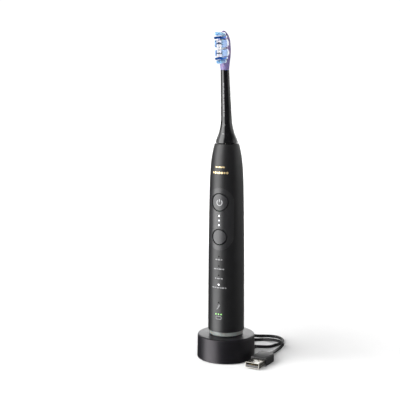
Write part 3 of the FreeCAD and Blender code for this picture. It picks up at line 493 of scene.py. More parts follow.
RELIEF_L = 5.7
RELIEF_R = 2.0
RELIEF_TIP_R = 1.6
RELIEF_WAIST_R = 1.5  # inside the hole in the puck's wall
RELIEF_FLANGE_T = 2.0
RELIEF_RIBS = 4
# depth, share of the pitch, further step and rounding of each corner of a groove
RELIEF_GROOVE = (
    (-0.03, 0.0, 0.0, 0.15), (0.22, 0.0, 0.1, 0.12), (0.24, 0.42, 0.0, 0.12), (0.0, 0.5, 0.0, 0.12),
)


def build_relief():
    """Tapered grommet with ribs across its tail."""
    inner, end = min(RELIEF_REACH) / MM, max(RELIEF_REACH) / MM
    start = end - RELIEF_L
    flange = inner + RELIEF_FLANGE_T
    corners = [(0.0, inner, 0), (RELIEF_R, inner, 0.2), (RELIEF_R, flange, 0),
               (RELIEF_WAIST_R, flange, 0), (RELIEF_WAIST_R, start, 0), (RELIEF_R, start, 0.15)]
    pitch = RELIEF_L / (RELIEF_RIBS + 0.5)
    for rib in range(RELIEF_RIBS):
        low = start + pitch * (rib + 0.62)
        r = RELIEF_R - (RELIEF_R - RELIEF_TIP_R) * (rib + 0.8) / RELIEF_RIBS
        for sink, share, step, rounding in RELIEF_GROOVE:
            corners.append((r - sink, low + share * pitch + step, rounding))
    corners += [(RELIEF_TIP_R, end, 0.2), (0.0, end, 0)]
    aim = Matrix.Translation((0, 0, EXIT_Z)) @ Vector((0, 0, 1)).rotation_difference(
        EXIT_DIR).to_matrix().to_4x4()
    bm = bmesh.new()
    turned(bm, corners, 3, 40, aim)
    return piece_from(bm, "cord_relief", "charger", "rubber_black",
                      ["cord_strain_relief"])


PLUG_RELIEF_L = 7.0
PLUG_FRONT_Y = -25.0
PLUG_HALF = (7.0, 3.6)  # half-width and half-thickness of the plug's body
PLUG_CORNER_R = 1.0
PLUG_REAR_R = 4.2
PLUG_REAR_STEPS = 12
# distance back, inset and corner radius of each step of the rounded front edge
PLUG_FRONT_EDGE = ((0.0, 0.35, 0.7), (0.1, 0.1, 0.9), (0.35, 0.0, PLUG_CORNER_R))
PLUG_SOCKET = (6.03, 2.28, 4.0)  # half-width, half-height and depth round the steel shell
PLUG_SOCKET_CORNER_R = 0.4
PLUG_RIBS = 5
PLUG_RELIEF_R = 2.0
PLUG_RELIEF_TAPER = 0.4
PLUG_RIB_GROOVE = ((0.0, 0.0), (0.08, 0.2), (0.42, 0.24), (0.5, 0.02))  # share of the pitch, depth
PLUG_TAIL = ((-0.1, 1.6), (0.0, 1.5))  # distance from the end, radius
CIRCLE_SLACK = 0.01  # a corner radius this much under the half-width gives a circle


def build_plug():
    """Moulded plug body with a socket for its shell, a round rear and a ribbed relief."""
    half_w, half_t = PLUG_HALF
    socket_w, socket_t, depth = PLUG_SOCKET
    levels = [(y, socket_w, socket_t, PLUG_SOCKET_CORNER_R)
              for y in (PLUG_FRONT_Y + depth, PLUG_FRONT_Y)]
    for back, inset, corner in PLUG_FRONT_EDGE:
        levels.append((PLUG_FRONT_Y + back, half_w - inset, half_t - inset, corner))
    for i in range(PLUG_REAR_STEPS + 1):
        a = math.radians(90 * i / PLUG_REAR_STEPS)
        y = PLUG_REAR_R * math.sin(a) - PLUG_RELIEF_L - PLUG_REAR_R
        edge = max(y + PLUG_RELIEF_L + PLUG_CORNER_R, 0.0)
        levels.append((y, half_w - PLUG_REAR_R * (1 - math.cos(a)),
                       half_t - PLUG_CORNER_R + math.sqrt(max(PLUG_CORNER_R ** 2 - edge ** 2, 0.0)),
                       PLUG_CORNER_R))
    pitch = PLUG_RELIEF_L / (PLUG_RIBS + 0.5)
    round_levels = [(-PLUG_RELIEF_L, PLUG_RELIEF_R + 0.1)]
    for rib in range(PLUG_RIBS):
        y = -PLUG_RELIEF_L + pitch * (rib + 0.4)
        r = PLUG_RELIEF_R - PLUG_RELIEF_TAPER * rib / PLUG_RIBS
        round_levels += [(y + share * pitch, r - sink) for share, sink in PLUG_RIB_GROOVE]
    for y, r in round_levels + list(PLUG_TAIL):
        levels.append((y, r, r, r - CIRCLE_SLACK))
    place = Matrix.Translation(PLUG_END) @ Matrix.Rotation(-PLUG_YAW, 4, "Z")
    bm = bmesh.new()
    capped(bm, *([bm.verts.new(place @ (Vector((x, y, z)) * MM)) for x, z in rounded_box(w, t, r, 6)]
                 for y, w, t, r in levels))
    return piece_from(bm, "plug_body", "charger", "plug_black", ["usb_plug_body"])


# ---- charging puck

# radius, height and rounding of each corner: up inside the post and wall, then the outside
PUCK_CORNERS = (
    (0.0, 28.2, 0), (2.9, 28.2, 0), (2.9, 18.4, 0), (22.2, 18.4, 0.5), (22.6, 0.6, 0.1),
    (24.4, 0.6, 0.35), (24.0, 20.2, 1.5), (3.9, 20.2, 0.5), (3.9, 29.2, 0.8), (0.0, 29.2, 0),
)


def build_puck():
    """Moulded shell with its post, hollow from below."""
    bm = bmesh.new()
    turned(bm, PUCK_CORNERS, 8, 2 * ROUND)
    piece_from(bm, "puck_shell", "charger", "puck_black", ["charger_housing"])


# ---- handle

FOOT_Z = 24.5
HOUSING_L = 156.5
HANDLE_D = 30.4
# height as a share of the housing's length, diameter as a share of HANDLE_D
HANDLE_OUTLINE = (
    (0.0, 1.0), (0.2, 0.993), (0.393, 0.982), (0.57, 0.963), (0.712, 0.938), (0.847, 0.893),
    (0.907, 0.843), (0.939, 0.8), (0.971, 0.735), (1.0, 0.656),
)
handle_share = smooth_through(HANDLE_OUTLINE)


def handle_r(z):
    """Radius of the housing at a height, both in millimetres."""
    return HANDLE_D / 2 * handle_share((z - FOOT_Z) / HOUSING_L)


def on_front(x, z, lift=0.0):
    """Point of the handle's front surface, from millimetres to metres."""
    return Vector((x, -math.sqrt(handle_r(z) ** 2 - x * x) - lift, z)) * MM


# share of the half-width and height above the surface of each point across a printed stroke
STROKE_SECTION = ((-1, -0.12), (-1, 0.012), (-0.6, 0.04), (0.6, 0.04), (1, 0.012), (1, -0.12))


def ribbon(bm, path, width, closed=False, surface=on_front):
    """Raised stroke that follows the surface along (x, z) points, with rounded ends."""
    count = len(path)
    lengths = [0.0]
    for a, b in zip(path, path[1:]):
        lengths.append(lengths[-1] + math.dist(a, b))
    rows = []
    for i, (x, z) in enumerate(path):
        a = path[(i - 1) % count] if closed else path[max(i - 1, 0)]
        b = path[(i + 1) % count] if closed else path[min(i + 1, count - 1)]
        run = math.dist(a, b) or 1.0
        nx, nz = -(b[1] - a[1]) / run, (b[0] - a[0]) / run
        half = width / 2
        if not closed:
            tail = min(lengths[i], lengths[-1] - lengths[i])
            if tail < half:
                half = math.sqrt(half ** 2 - (half - tail) ** 2) + 0.12 * half
        rows.append([bm.verts.new(surface(x + nx * half * side, z + nz * half * side, rise))
                     for side, rise in STROKE_SECTION])
    skin(bm, *rows)
    if closed:
        skin(bm, rows[-1], rows[0])
    else:
        bm.faces.new(rows[0])
        bm.faces.new(rows[-1])


def line(start, end, steps=8):
    """Points along a straight stroke."""
    return [(start[0] + (end[0] - start[0]) * i / steps, start[1] + (end[1] - start[1]) * i / steps)
            for i in range(steps + 1)]


# height, full width and stroke of each row of dashes, and its dashes' relative lengths
GOLD_ROWS = (
    (162.7, 8.3, 1.0, (2, 1, 3, 1.4, 2.2)), (158.1, 13.8, 1.7, (1.6, 2.6, 1.1, 2.0, 3.0, 1.4, 2.1)),
)
GREY_ROWS = (
    (86.3, 6.3, 1.0, (1.4, 2.2, 1.2)), (78.4, 9.5, 1.0, (2.2, 1.3, 3, 1.6)),
    (70.4, 7.1, 1.0, (1.2, 2.6, 1.6)), (62.6, 13.0, 1.0, (3, 1.4, 2.4, 1.2, 2.8, 1.3)),
)
DASH_GAP = 0.45
BRUSH_ICON_Z = 46.0
BATTERY_ICON_Z = 37.1


def dashes(bm, rows):
    """Rows of rounded dashes in place of words, centred on the front."""
    for z, width, height, parts in rows:
        unit = (width - DASH_GAP * (len(parts) - 1)) / sum(parts)
        x = -width / 2
        for part in parts:
            ribbon(bm, line((x, z), (x + part * unit, z), 10), height)
            x += part * unit + DASH_GAP


def build_marks():
    """Printed rows and icons on the handle's front."""
    bm = bmesh.new()
    dashes(bm, GOLD_ROWS)
    piece_from(bm, "front_dashes", "handle", "mark_gold")
    bm = bmesh.new()
    dashes(bm, GREY_ROWS)
    build_brush_icon(bm, BRUSH_ICON_Z)
    build_battery_icon(bm, BATTERY_ICON_Z)
    piece_from(bm, "front_labels", "handle", "mark_grey")


def build_brush_icon(bm, z):
    """Small slanted brush: a stem with three short bristle strokes."""
    ribbon(bm, line((-1.7, z - 2.0), (1.3, z + 1.9)), 0.7)
    for step in range(3):
        x = 0.1 + 0.55 * step
        h = z + 0.35 + 0.7 * step
        ribbon(bm, line((x - 0.1, h), (x - 1.0, h + 0.75)), 0.5)


def build_battery_icon(bm, z):
    """Round-cornered outline with a short stroke for its terminal."""
    half_w = 2.3
    path = rounded_box(half_w, 1.25, 0.4, 4, z)
    dense = []
    for start, end in zip(path, path[1:] + path[:1]):
        dense += line(start, end, max(1, round(math.dist(start, end) / 0.4)))[:-1]
    ribbon(bm, dense, 0.42, closed=True)
    ribbon(bm, line((half_w + 0.45, z - 0.5), (half_w + 0.45, z + 0.5)), 0.35)


# ---- buttons

POWER = (133.9, 7.0)  # height and radius
MODE = (105.1, 6.15)
BUTTON_EDGE_T = 0.9
BUTTON_DISH = 0.22
BUTTON_DISH_SHARE = 0.9  # of the radius, as is the next: the dish ends, and the rounding starts
BUTTON_FLAT_SHARE = 0.93
BUTTON_ROUNDING = 0.3
POWER_ARC = (2.35, 128, 412)  # radius, and angles from the right
POWER_STROKE = 0.62
STEM_R = 2.0
STEM_END_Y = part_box("power_button")[1][1]
BUTTON_RINGS = (0.1, 0.2, 0.3, 0.4, 0.5, 0.6, 0.68, 0.76, 0.83, 0.88, 0.92, 0.95, 0.975, 1.0)


def button_face(z0, r):
    """Function giving a point on a button's dished and rounded front."""

    def point(x, z, rise=0.0):
        share = min(math.hypot(x, z - z0) / r, 1.0)
        sink = BUTTON_DISH * max(0.0, 1 - (share / BUTTON_DISH_SHARE) ** 2)
        edge = max(0.0, (share - BUTTON_FLAT_SHARE) / (1 - BUTTON_FLAT_SHARE))
        return on_front(x, z, rise - sink - BUTTON_ROUNDING * edge ** 2)

    return point


def build_button(name, node, body, z0, r):
    """Cap whose front follows the handle, dished in the middle, with its stem behind."""
    face = button_face(z0, r)
    back_y = (BUTTON_EDGE_T - math.sqrt(handle_r(z0) ** 2 - r ** 2)) * MM
    bm = bmesh.new()
    rings = [[bm.verts.new(face(0, z0))] * ROUND]
    for share in BUTTON_RINGS:
        rings.append([bm.verts.new(face(x, z)) for x, z in circle(0, z0, r * share, ROUND)])
    rings.append([bm.verts.new((vert.co.x, back_y, vert.co.z)) for vert in rings[-1]])
    for y in (back_y, STEM_END_Y):
        rings.append([bm.verts.new((x * MM, y, z * MM)) for x, z in circle(0, z0, STEM_R, ROUND)])
    skin(bm, *rings)
    bm.faces.new(rings[-1])
    piece_from(bm, name, body, "button_black", [node])


def build_buttons():
    """Both caps, and the power symbol on the upper one."""
    build_button("power_cap", "power_button", "power_key", *POWER)
    build_button("mode_cap", "mode_button", "mode_key", *MODE)
    z0 = POWER[0]
    face = button_face(*POWER)
    bm = bmesh.new()
    ribbon(bm, arc(0, z0 - 0.25, *POWER_ARC), POWER_STROKE, surface=face)
    ribbon(bm, line((0, z0 + 0.1), (0, z0 + 2.9)), POWER_STROKE, surface=face)
    piece_from(bm, "power_symbol", "power_key", "mark_pale")


# ---- lights

DOT_SIDES = 20
DOT_TOP = 0.06
DOT_PROFILE = ((0.3, 0.055), (0.55, 0.04), (0.68, -0.03), (0.48, -0.1))  # radius, height
# material, and the places across and up
DOTS = {
    "lit_white": ((0, 122.8), (0, 65.1)), "lit_dim": ((0, 118.9),), "lit_faint": ((0, 115.1),),
    "dark_dot": ((0, 88.9), (0, 80.9), (0, 73.1), (0, 50.1)),
    "lit_green": ((-2.4, 40.1), (0, 40.1), (2.4, 40.1)),
}
GUIDE_BACK_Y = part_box("light_guides")[1][1]


def build_lights_on_handle():
    """Small domed windows, each with its light guide behind."""
    for material, places in DOTS.items():
        bm = bmesh.new()
        for x, z in places:
            dot_window(bm, x, z)
        replaced = ["light_guides"] if material == "lit_white" else []
        piece_from(bm, "dots_" + material, "handle", material, replaced)


def dot_window(bm, x, z):
    """Dome that stands in the surface, with the end of its guide behind."""
    rings = [[bm.verts.new(on_front(x, z, DOT_TOP))] * DOT_SIDES]
    for r, rise in DOT_PROFILE:
        rings.append([bm.verts.new(on_front(px, pz, rise))
                      for px, pz in circle(x, z, r, DOT_SIDES)])
    rings.append([bm.verts.new((v.co.x, GUIDE_BACK_Y, v.co.z)) for v in rings[-1]])
    skin(bm, *rings)
    bm.faces.new(rings[-1])


# ---- light ring

LIGHT_RING_R = (13.73, 14.35)  # inner and outer
LIGHT_RING_Z = (21.0, FOOT_Z)


def build_ring():
    """Grey ring at the handle's foot, rounded on its outer edges."""
    inner, outer = LIGHT_RING_R
    low, high = LIGHT_RING_Z
    bm = bmesh.new()
    turned(bm, ((inner, low, 0), (outer, low, 0.3), (outer, high, 0.3), (inner, high, 0),
                (inner, low, 0)), 5, 160)
    bmesh.ops.remove_doubles(bm, verts=bm.verts, dist=AXIS_R)
    piece_from(bm, "glow_ring", "handle", "ring_grey", ["light_ring"])


# ---- neck

NECK_Z = 181.7
NECK_L = 59.3
NECK_BEND_H = 18.5
NECK_LEANS = (0.053, 0.08)  # forward shift per unit of height, below and above the bend
# diameter at each height above the neck's lower edge
NECK_OUTLINE = (
    (0.0, 18.6), (3.8, 16.3), (8.7, 12.6), (13.6, 10.2),
    (18.5, 9.0), (33.3, 8.1), (47.9, 7.3), (59.3, 6.9),
)
# height above the lower edge and radius of each point inside the mouth and round its lip
NECK_INSIDE = (
    (18.6, 0.0), (18.6, 2.87), (5.3, 2.87), (5.3, 3.45), (0.25, 7.75), (0.05, 8.1), (0.0, 8.4),
    (0.0, 8.9), (0.06, 9.12), (0.2, 9.2),
)
NECK_OUTSIDE_H = 0.35
NECK_STEPS = 90
NECK_CROWDING = 1.25  # above 1, the steps are closer together in the flare
NECK_BARS_Z = 203.0
NECK_BARS = (3.4, 1.2, 4.6, 2.0, 1.4, 3.8, 1.2, 2.6, 3.4)
NECK_BAR_GAP = 0.55
NECK_MARK_HALF_W = 0.9
NECK_RING_Z = 196.6
NECK_STROKE_Z = 189.4
neck_d = smooth_through(NECK_OUTLINE)


def neck_shift(height):
    """How far the neck's middle line has come forward at a height above its lower edge."""
    low, high = NECK_LEANS
    return -low * min(height, NECK_BEND_H) - high * max(height - NECK_BEND_H, 0.0)


def neck_front(x, z, lift=0.0):
    """Point of the neck's front surface, from millimetres to metres."""
    height = z - NECK_Z
    r = neck_d(height) / 2
    return Vector((x, neck_shift(height) - math.sqrt(r * r - x * x) - lift, z)) * MM


def build_neck():
    """Flared sleeve: a cone inside its mouth, a rounded lip, then the curved outside."""
    profile = [(height, r, 0.0) for height, r in NECK_INSIDE]
    for i in range(NECK_STEPS + 1):
        height = NECK_OUTSIDE_H + (NECK_L - NECK_OUTSIDE_H) * (i / NECK_STEPS) ** NECK_CROWDING
        profile.append((height, neck_d(height) / 2, neck_shift(height)))
    bm = bmesh.new()
    rings = []
    for height, r, lean in profile:
        z = NECK_Z + height
        if r == 0.0:
            rings.append([bm.verts.new((0, 0, z * MM))] * ROUND)
        else:
            rings.append([bm.verts.new(Vector((r * math.sin(a), lean - r * math.cos(a), z)) * MM)
                          for a in angles(ROUND)])
    skin(bm, *rings)
    bm.faces.new(rings[-1])
    piece_from(bm, "neck_shell", "brush_head", "gloss_black", ["neck_sleeve"])


def build_neck_marks():
    """Upright bars in place of words, with a ring and a stroke below them."""
    bm = bmesh.new()
    z = NECK_BARS_Z
    for part in NECK_BARS:
        ribbon(bm, line((0, z), (0, z + part)), NECK_MARK_HALF_W, surface=neck_front)
        z += part + NECK_BAR_GAP
    ring = circle(0, NECK_RING_Z, NECK_MARK_HALF_W, 20)
    ribbon(bm, ring, 0.3, closed=True, surface=neck_front)
    ends = [(side * NECK_MARK_HALF_W, NECK_STROKE_Z) for side in (-1, 1)]
    ribbon(bm, line(*ends), 0.6, surface=neck_front)
    piece_from(bm, "neck_marks", "brush_head", "mark_neck")


# ---- brush head

HEAD = (Matrix.Translation(Vector((0, neck_shift(NECK_L), NECK_Z + NECK_L)) * MM)
        @ Matrix.Rotation(math.radians(5), 4, "X"))
HEAD_LIFT = 0.35
FACE_Y = -1.5
PAD_Y = -2.3
PLATE_STEPS = 80
PLATE_BODY_H = (-0.6, 30.1)
PLATE_END_H = (30.4, 30.65, 30.82, 30.94, 31.0)
FLAT_H = (3.4, 3.2)  # where the flat front starts, and how much height it takes to be full
FLAT_DEPTH = 3.0
FLAT_EDGE = 0.25
# half-width, half-thickness and squareness of the plate at each height above its lower end
HEAD_OUTLINE = (
    (0.0, 3.45, 3.4, 2.0), (3.6, 4.1, 2.5, 2.2), (7.0, 4.6, 2.25, 2.6), (10.7, 5.15, 2.2, 3.0),
    (16.0, 5.6, 2.2, 3.0), (19.0, 5.5, 2.2, 3.0), (23.7, 5.15, 2.2, 3.0), (26.8, 4.1, 2.15, 2.8),
    (29.2, 2.6, 1.9, 2.4), (30.6, 1.2, 1.2, 2.0), (31.0, 0.5, 0.5, 2.0),
)
head_w, head_t, head_n = (smooth_through([(row[0], row[column]) for row in HEAD_OUTLINE])
                          for column in (1, 2, 3))


def on_head(x, y, z):
    """Point from head axes, in millimetres, to its leaning place in metres."""
    return HEAD @ (Vector((x, y, z)) * MM)


def oval(half_w, half_t, squareness):
    """Points of a squared oval, from its front line round."""
    def squared(value, half):
        return math.copysign(abs(value) ** (2 / squareness), value) * half

    return [(squared(math.sin(a), half_w), -squared(math.cos(a), half_t)) for a in angles(ROUND)]


def build_plate():
    """Plate whose section runs from the neck's circle to a squared oval with a flat front."""
    bm = bmesh.new()
    low, high = PLATE_BODY_H
    heights = [low] + [high * (i / PLATE_STEPS) for i in range(PLATE_STEPS + 1)]
    rings = []
    for height in heights + list(PLATE_END_H):
        flat = min(max((height - FLAT_H[0]) / FLAT_H[1], 0.0), 1.0)
        flat = flat * flat * (3 - 2 * flat)
        edge = FACE_Y - (1 - flat) * FLAT_DEPTH + FLAT_EDGE
        ring = []
        for x, y in oval(head_w(height), head_t(height), head_n(height)):
            if y < edge:
                y = edge - FLAT_EDGE * (1 - math.exp((y - edge) / FLAT_EDGE))
            ring.append(bm.verts.new(on_head(x, y, height + HEAD_LIFT)))
        rings.append(ring)
    capped(bm, *rings)
    piece_from(bm, "head_body", "brush_head", "head_purple", ["head_plate"])


SAME_POINT = 1e-4


def stadium(half_w, z0, z1):
    """Closed outline with fully rounded short ends, across the middle line."""
    half_h = (z1 - z0) / 2
    clean = []
    for p in rounded_box(half_w, half_h, min(half_w, half_h), 10, (z0 + z1) / 2):
        if not clean or math.dist(p, clean[-1]) > SAME_POINT:
            clean.append(p)
    if math.dist(clean[0], clean[-1]) < SAME_POINT:
        clean.pop()
    return clean


def shrunk(outline, amount):
    """Closed anticlockwise outline moved inward."""
    count = len(outline)
    result = []
    for i, (x, z) in enumerate(outline):
        ax, az = outline[i - 1]
        bx, bz = outline[(i + 1) % count]
        first = Vector((x - ax, z - az)).normalized()
        second = Vector((bx - x, bz - z)).normalized()
        inward = Vector((-first.y - second.y, first.x + second.x))
        inward = inward / max(inward.length_squared / 2, 0.5)
        result.append((x + inward.x * amount, z + inward.y * amount))
    return result


def standing(bm, outline, base_y, top_y, edge, taper=0.0):
    """Solid over an (x, z) outline, standing towards -Y, narrower and rounded at its top."""
    levels = [(base_y, 0.0)]
    middle = 6 if taper else 1
    for i in range(1, middle + 1):
        share = i / middle
        levels.append((base_y + (top_y + edge - base_y) * share, taper * share))
    for angle in (30, 60, 90):
        a = math.radians(angle)
        levels.append((top_y + edge * (1 - math.sin(a)), taper + edge * (1 - math.cos(a))))
    capped(bm, *([bm.verts.new(on_head(x, y, z)) for x, z in shrunk(outline, inset)]
                 for y, inset in levels))


WHITE_ROWS = (12.6, 15.6, 17.9, 20.2, 23.6)
WHITE_X = 1.2
WHITE_R = 1.0
WHITE_L = 8.0
NAVY_ROWS = ((9.9, 9.4), (26.4, 10.0))  # height on the head, bristle length
NAVY_X = 2.4
NAVY_R = 0.95
BLUE_ENDS = ((7.3, 8.8, 0.0), (28.7, 9.6, 6.0))  # height, bristle length, upward lean
BLUE_X = 1.22
BLUE_R = 1.15
GUARD_SPANS = ((11.6, 16.9), (18.6, 24.7))
GUARD_X = 3.2
GUARD_T = 1.1
GUARD_L = 7.7
STEP_SHARE = 0.88
STEP_SPAN = (6.4, 29.4)
RIM_OUT_X = 5.0
RIM_CORNER_R = 0.4
RIM_EDGE = 0.2
CARRIER_HALF_W = 2.35


def step_outline():
    """The plate's own outline, drawn in from its edge."""
    low, high = STEP_SPAN
    side = [(head_w(h) * STEP_SHARE, h + HEAD_LIFT)
            for h in (low + (high - low) * i / 40 for i in range(41))]

    def end(corner, bulge, shares):
        x, z = corner
        return [(x * share, z + bulge * math.sqrt(1 - share ** 2)) for share in shares]

    return (end(side[0], -0.5, (-0.95, -0.6, -0.2, 0.2, 0.6, 0.95)) + side
            + end(side[-1], 0.6, (0.9, 0.5, 0.0, -0.5, -0.9)) + [(-x, z) for x, z in reversed(side)])


def guard_rim(side, low, high):
    """Rim round one guard: straight on its inner side and bowed on its outer side."""
    inner = GUARD_X - GUARD_T / 2 - 0.25
    points = arc(inner + RIM_CORNER_R, low, RIM_CORNER_R, 180, 270, 5)
    steps = 18
    for i in range(steps + 1):
        share = i / steps
        bow = math.sin(math.pi * share) ** 0.45 if 0 < share < 1 else 0.0
        z = low - RIM_CORNER_R + (high - low + 2 * RIM_CORNER_R) * share
        edge = min(RIM_OUT_X, head_w(z - HEAD_LIFT) * 0.93)
        points.append((inner + 0.9 + (edge - inner - 0.9) * bow, z))
    points += arc(inner + RIM_CORNER_R, high, RIM_CORNER_R, 90, 180, 5)
    return points if side > 0 else [(-x, z) for x, z in reversed(points)]


def pad_outlines():
    """Outline round each group of tufts, apart from the white ones in the middle."""
    for z, _, _ in BLUE_ENDS:
        yield stadium(BLUE_X + BLUE_R + 0.3, z - BLUE_R - 0.3, z + BLUE_R + 0.3)
    for z, _ in NAVY_ROWS:
        yield stadium(NAVY_X + NAVY_R + 0.45, z - NAVY_R - 0.25, z + NAVY_R + 0.25)
    for low, high in GUARD_SPANS:
        for side in (-1, 1):
            yield guard_rim(side, low, high)


def build_pads():
    """Raised white rims round each group of tufts, over a thin purple step."""
    bm = bmesh.new()
    standing(bm, step_outline(), FACE_Y + 0.3, FACE_Y - 0.25, 0.12)
    piece_from(bm, "head_step", "brush_head", "head_purple")
    bm = bmesh.new()
    for outline in pad_outlines():
        standing(bm, outline, FACE_Y + 0.2, PAD_Y, RIM_EDGE)
    carrier = stadium(CARRIER_HALF_W, WHITE_ROWS[0] - 1.3, WHITE_ROWS[-1] + 1.3)
    standing(bm, carrier, FACE_Y + 0.2, PAD_Y + 0.2, RIM_EDGE)
    piece_from(bm, "tuft_rims", "brush_head", "white_plastic", ["tuft_carrier"])


FILAMENT_R = 0.1
FILAMENT_SIDES = 5
FILAMENT_PROFILE = ((0.0, 1.0), (0.55, 1.0), (0.97, 0.86), (0.992, 0.55))  # length, radius
FILAMENT_ROOT_Y = PAD_Y + 0.3
GOLDEN = math.radians(137.508)
TUFT_DOME = 0.2  # how much lower a tuft is at its rim
NAVY_COLUMNS = 16


def filament(bm, root, tip):
    """One bristle between two points in head axes, with a rounded end."""
    along = (tip - root).normalized()
    side = along.orthogonal().normalized()
    other = along.cross(side)
    rings = []
    for share, width in FILAMENT_PROFILE:
        centre = root.lerp(tip, share)
        around = [(side * math.cos(a) + other * math.sin(a)) * FILAMENT_R * width
                  for a in angles(FILAMENT_SIDES)]
        rings.append([bm.verts.new(on_head(*(centre + offset))) for offset in around])
    rings.append([bm.verts.new(on_head(*tip))] * FILAMENT_SIDES)
    skin(bm, *rings)


def tuft(bm, x, z, r, length, count, splay=0.06, lean=0.0):
    """Round bundle of bristles, a little fuller and lower at its rim."""
    for i in range(count):
        share = math.sqrt((i + 0.5) / count)
        a = i * GOLDEN + RNG.uniform(-0.1, 0.1)
        px = x + (r - FILAMENT_R) * share * math.cos(a)
        pz = z + (r - FILAMENT_R) * share * math.sin(a)
        long = length - TUFT_DOME * share ** 3 - RNG.uniform(0.0, 0.16)
        rise = long * math.tan(math.radians(lean))
        spread_x = splay * share * math.cos(a) + RNG.uniform(-0.04, 0.04)
        spread_z = splay * share * math.sin(a) + RNG.uniform(-0.04, 0.04)
        filament(bm, Vector((px, FILAMENT_ROOT_Y, pz)),
                 Vector((px + spread_x, PAD_Y - long, pz + spread_z + rise)))


def build_bristles():
    """The three kinds of bristle, each kind in one piece."""
    bm = bmesh.new()
    for z in WHITE_ROWS:
        for side in (-1, 1):
            tuft(bm, side * WHITE_X, z, WHITE_R, WHITE_L, 76, splay=0.14)
    piece_from(bm, "white_bristles", "brush_head", "bristle_white",
               ["white_tufts"])
    bm = bmesh.new()
    for z, length in NAVY_ROWS:
        for side in (-1, 1):
            tuft(bm, side * NAVY_X, z, NAVY_R, length, 58)
        for i in range(NAVY_COLUMNS):
            x = (i / (NAVY_COLUMNS - 1) - 0.5) * 2 * (NAVY_X - NAVY_R + 0.1)
            for row in (-0.24, 0.0, 0.24):
                pz = z + row + RNG.uniform(-0.03, 0.03)
                tip_x = x + RNG.uniform(-0.05, 0.05)
                tip_y = PAD_Y - length + RNG.uniform(0.02, 0.2)
                filament(bm, Vector((x, FILAMENT_ROOT_Y, pz)), Vector((tip_x, tip_y, pz)))
    piece_from(bm, "navy_bristles", "brush_head", "bristle_navy", ["navy_tufts"])
    bm = bmesh.new()
    for z, length, lean in BLUE_ENDS:
        for side in (-1, 1):
            tuft(bm, side * BLUE_X, z, BLUE_R, length, 92, splay=0.42, lean=lean)
    piece_from(bm, "light_blue_bristles", "brush_head", "bristle_blue",
               ["light_blue_tufts"])


FINGER_HALF_W = 0.32
SCALLOPS = 4
SCALLOP_STEPS = 24


def comb_outline(side, low, high):
    """Guard seen from its tip: a scalloped outer wall with three fingers turned inward."""
    outer = GUARD_X + GUARD_T / 2
    spine = GUARD_X - 0.02
    finger = GUARD_X - GUARD_T / 2 - 0.35
    half = FINGER_HALF_W
    points = [(outer - 0.25, low), (outer - 0.06, low + 0.15)]
    for i in range(1, SCALLOP_STEPS):
        share = i / SCALLOP_STEPS
        z = low + 0.15 + (high - low - 0.3) * share
        points.append((outer - 0.05 - 0.09 * abs(math.sin(math.pi * SCALLOPS * share)), z))
    points += [(outer - 0.06, high - 0.15), (outer - 0.25, high)]
    for index, z in enumerate((high - half, (low + high) / 2, low + half)):
        if index:
            points += [(spine, z + half + 0.12), (spine - 0.12, z + half)]
        points += [(finger + 0.2, z + half), (finger + 0.03, z + half * 0.6),
                   (finger + 0.03, z - half * 0.6), (finger + 0.2, z - half)]
        if index < 2:
            points += [(spine - 0.12, z - half), (spine, z - half - 0.12)]
    return points if side > 0 else [(-x, z) for x, z in reversed(points)]


def build_guards():
    """Two soft walls on each side of the white tufts."""
    bm = bmesh.new()
    for low, high in GUARD_SPANS:
        for side in (-1, 1):
            standing(bm, comb_outline(side, low, high), PAD_Y + 0.3, PAD_Y - GUARD_L, 0.12, 0.12)
    piece_from(bm, "soft_guards", "brush_head", "guard_blue", ["gum_guards"])


# ---- stage

FLOOR_R = 6.0
FLOOR_FADE = (0.12, 0.6, 0.0, 0.4)  # distances where its own glow starts and ends, and the glow
BACKDROP_GLOW = (1.05, 1.1)


def stage_disc(name, profile, material):
    """Part of the set turned about the vertical axis, which reflections don't show."""
    bm = bmesh.new()
    lathe(bm, profile, ROUND)
    part = add_object(name, mesh_from(bm, name))
    part.data.materials.append(material)
    part.visible_glossy = False
    return part


def build_floor():
    """Pale floor that fades into the backdrop."""
    material, shader, place = new_material("pale_sweep")
    away = add_node(place.id_data, "VectorMath", Vector=place)
    away.operation = "LENGTH"
    grey = two_colours(noise_value(place, 0.05), (0.79, 0.79, 0.79), (0.83, 0.83, 0.83))
    set_inputs(shader, Base_Color=grey, Roughness=0.9, Specular_IOR_Level=0.1,
               Emission_Color=(1, 1, 1, 1),
               Emission_Strength=spread(away.outputs["Value"], *FLOOR_FADE),
               Normal=bump(noise_value(place, 0.002), 0.02 * MM))
    stage_disc("floor", ((0.0, 0.0), (FLOOR_R, 0.0)), material)


def build_backdrop():
    """White backdrop all round, which lets the light through."""
    material, shader, place = new_material("white_backdrop")
    haze = spread(noise_value(place, 2.0), 0.0, 1.0, *BACKDROP_GLOW)
    set_inputs(shader, Base_Color=(0, 0, 0, 1), Specular_IOR_Level=0.0,
               Emission_Color=(1, 1, 1, 1), Emission_Strength=haze)
    dome = stage_disc("backdrop", ((FLOOR_R, 0.0), (FLOOR_R, FLOOR_R), (0.0, FLOOR_R)), material)
    dome.visible_diffuse = False
    dome.visible_shadow = False
    dome.visible_transmission = False


SURROUND = 0.05  # brightness of the dark surroundings
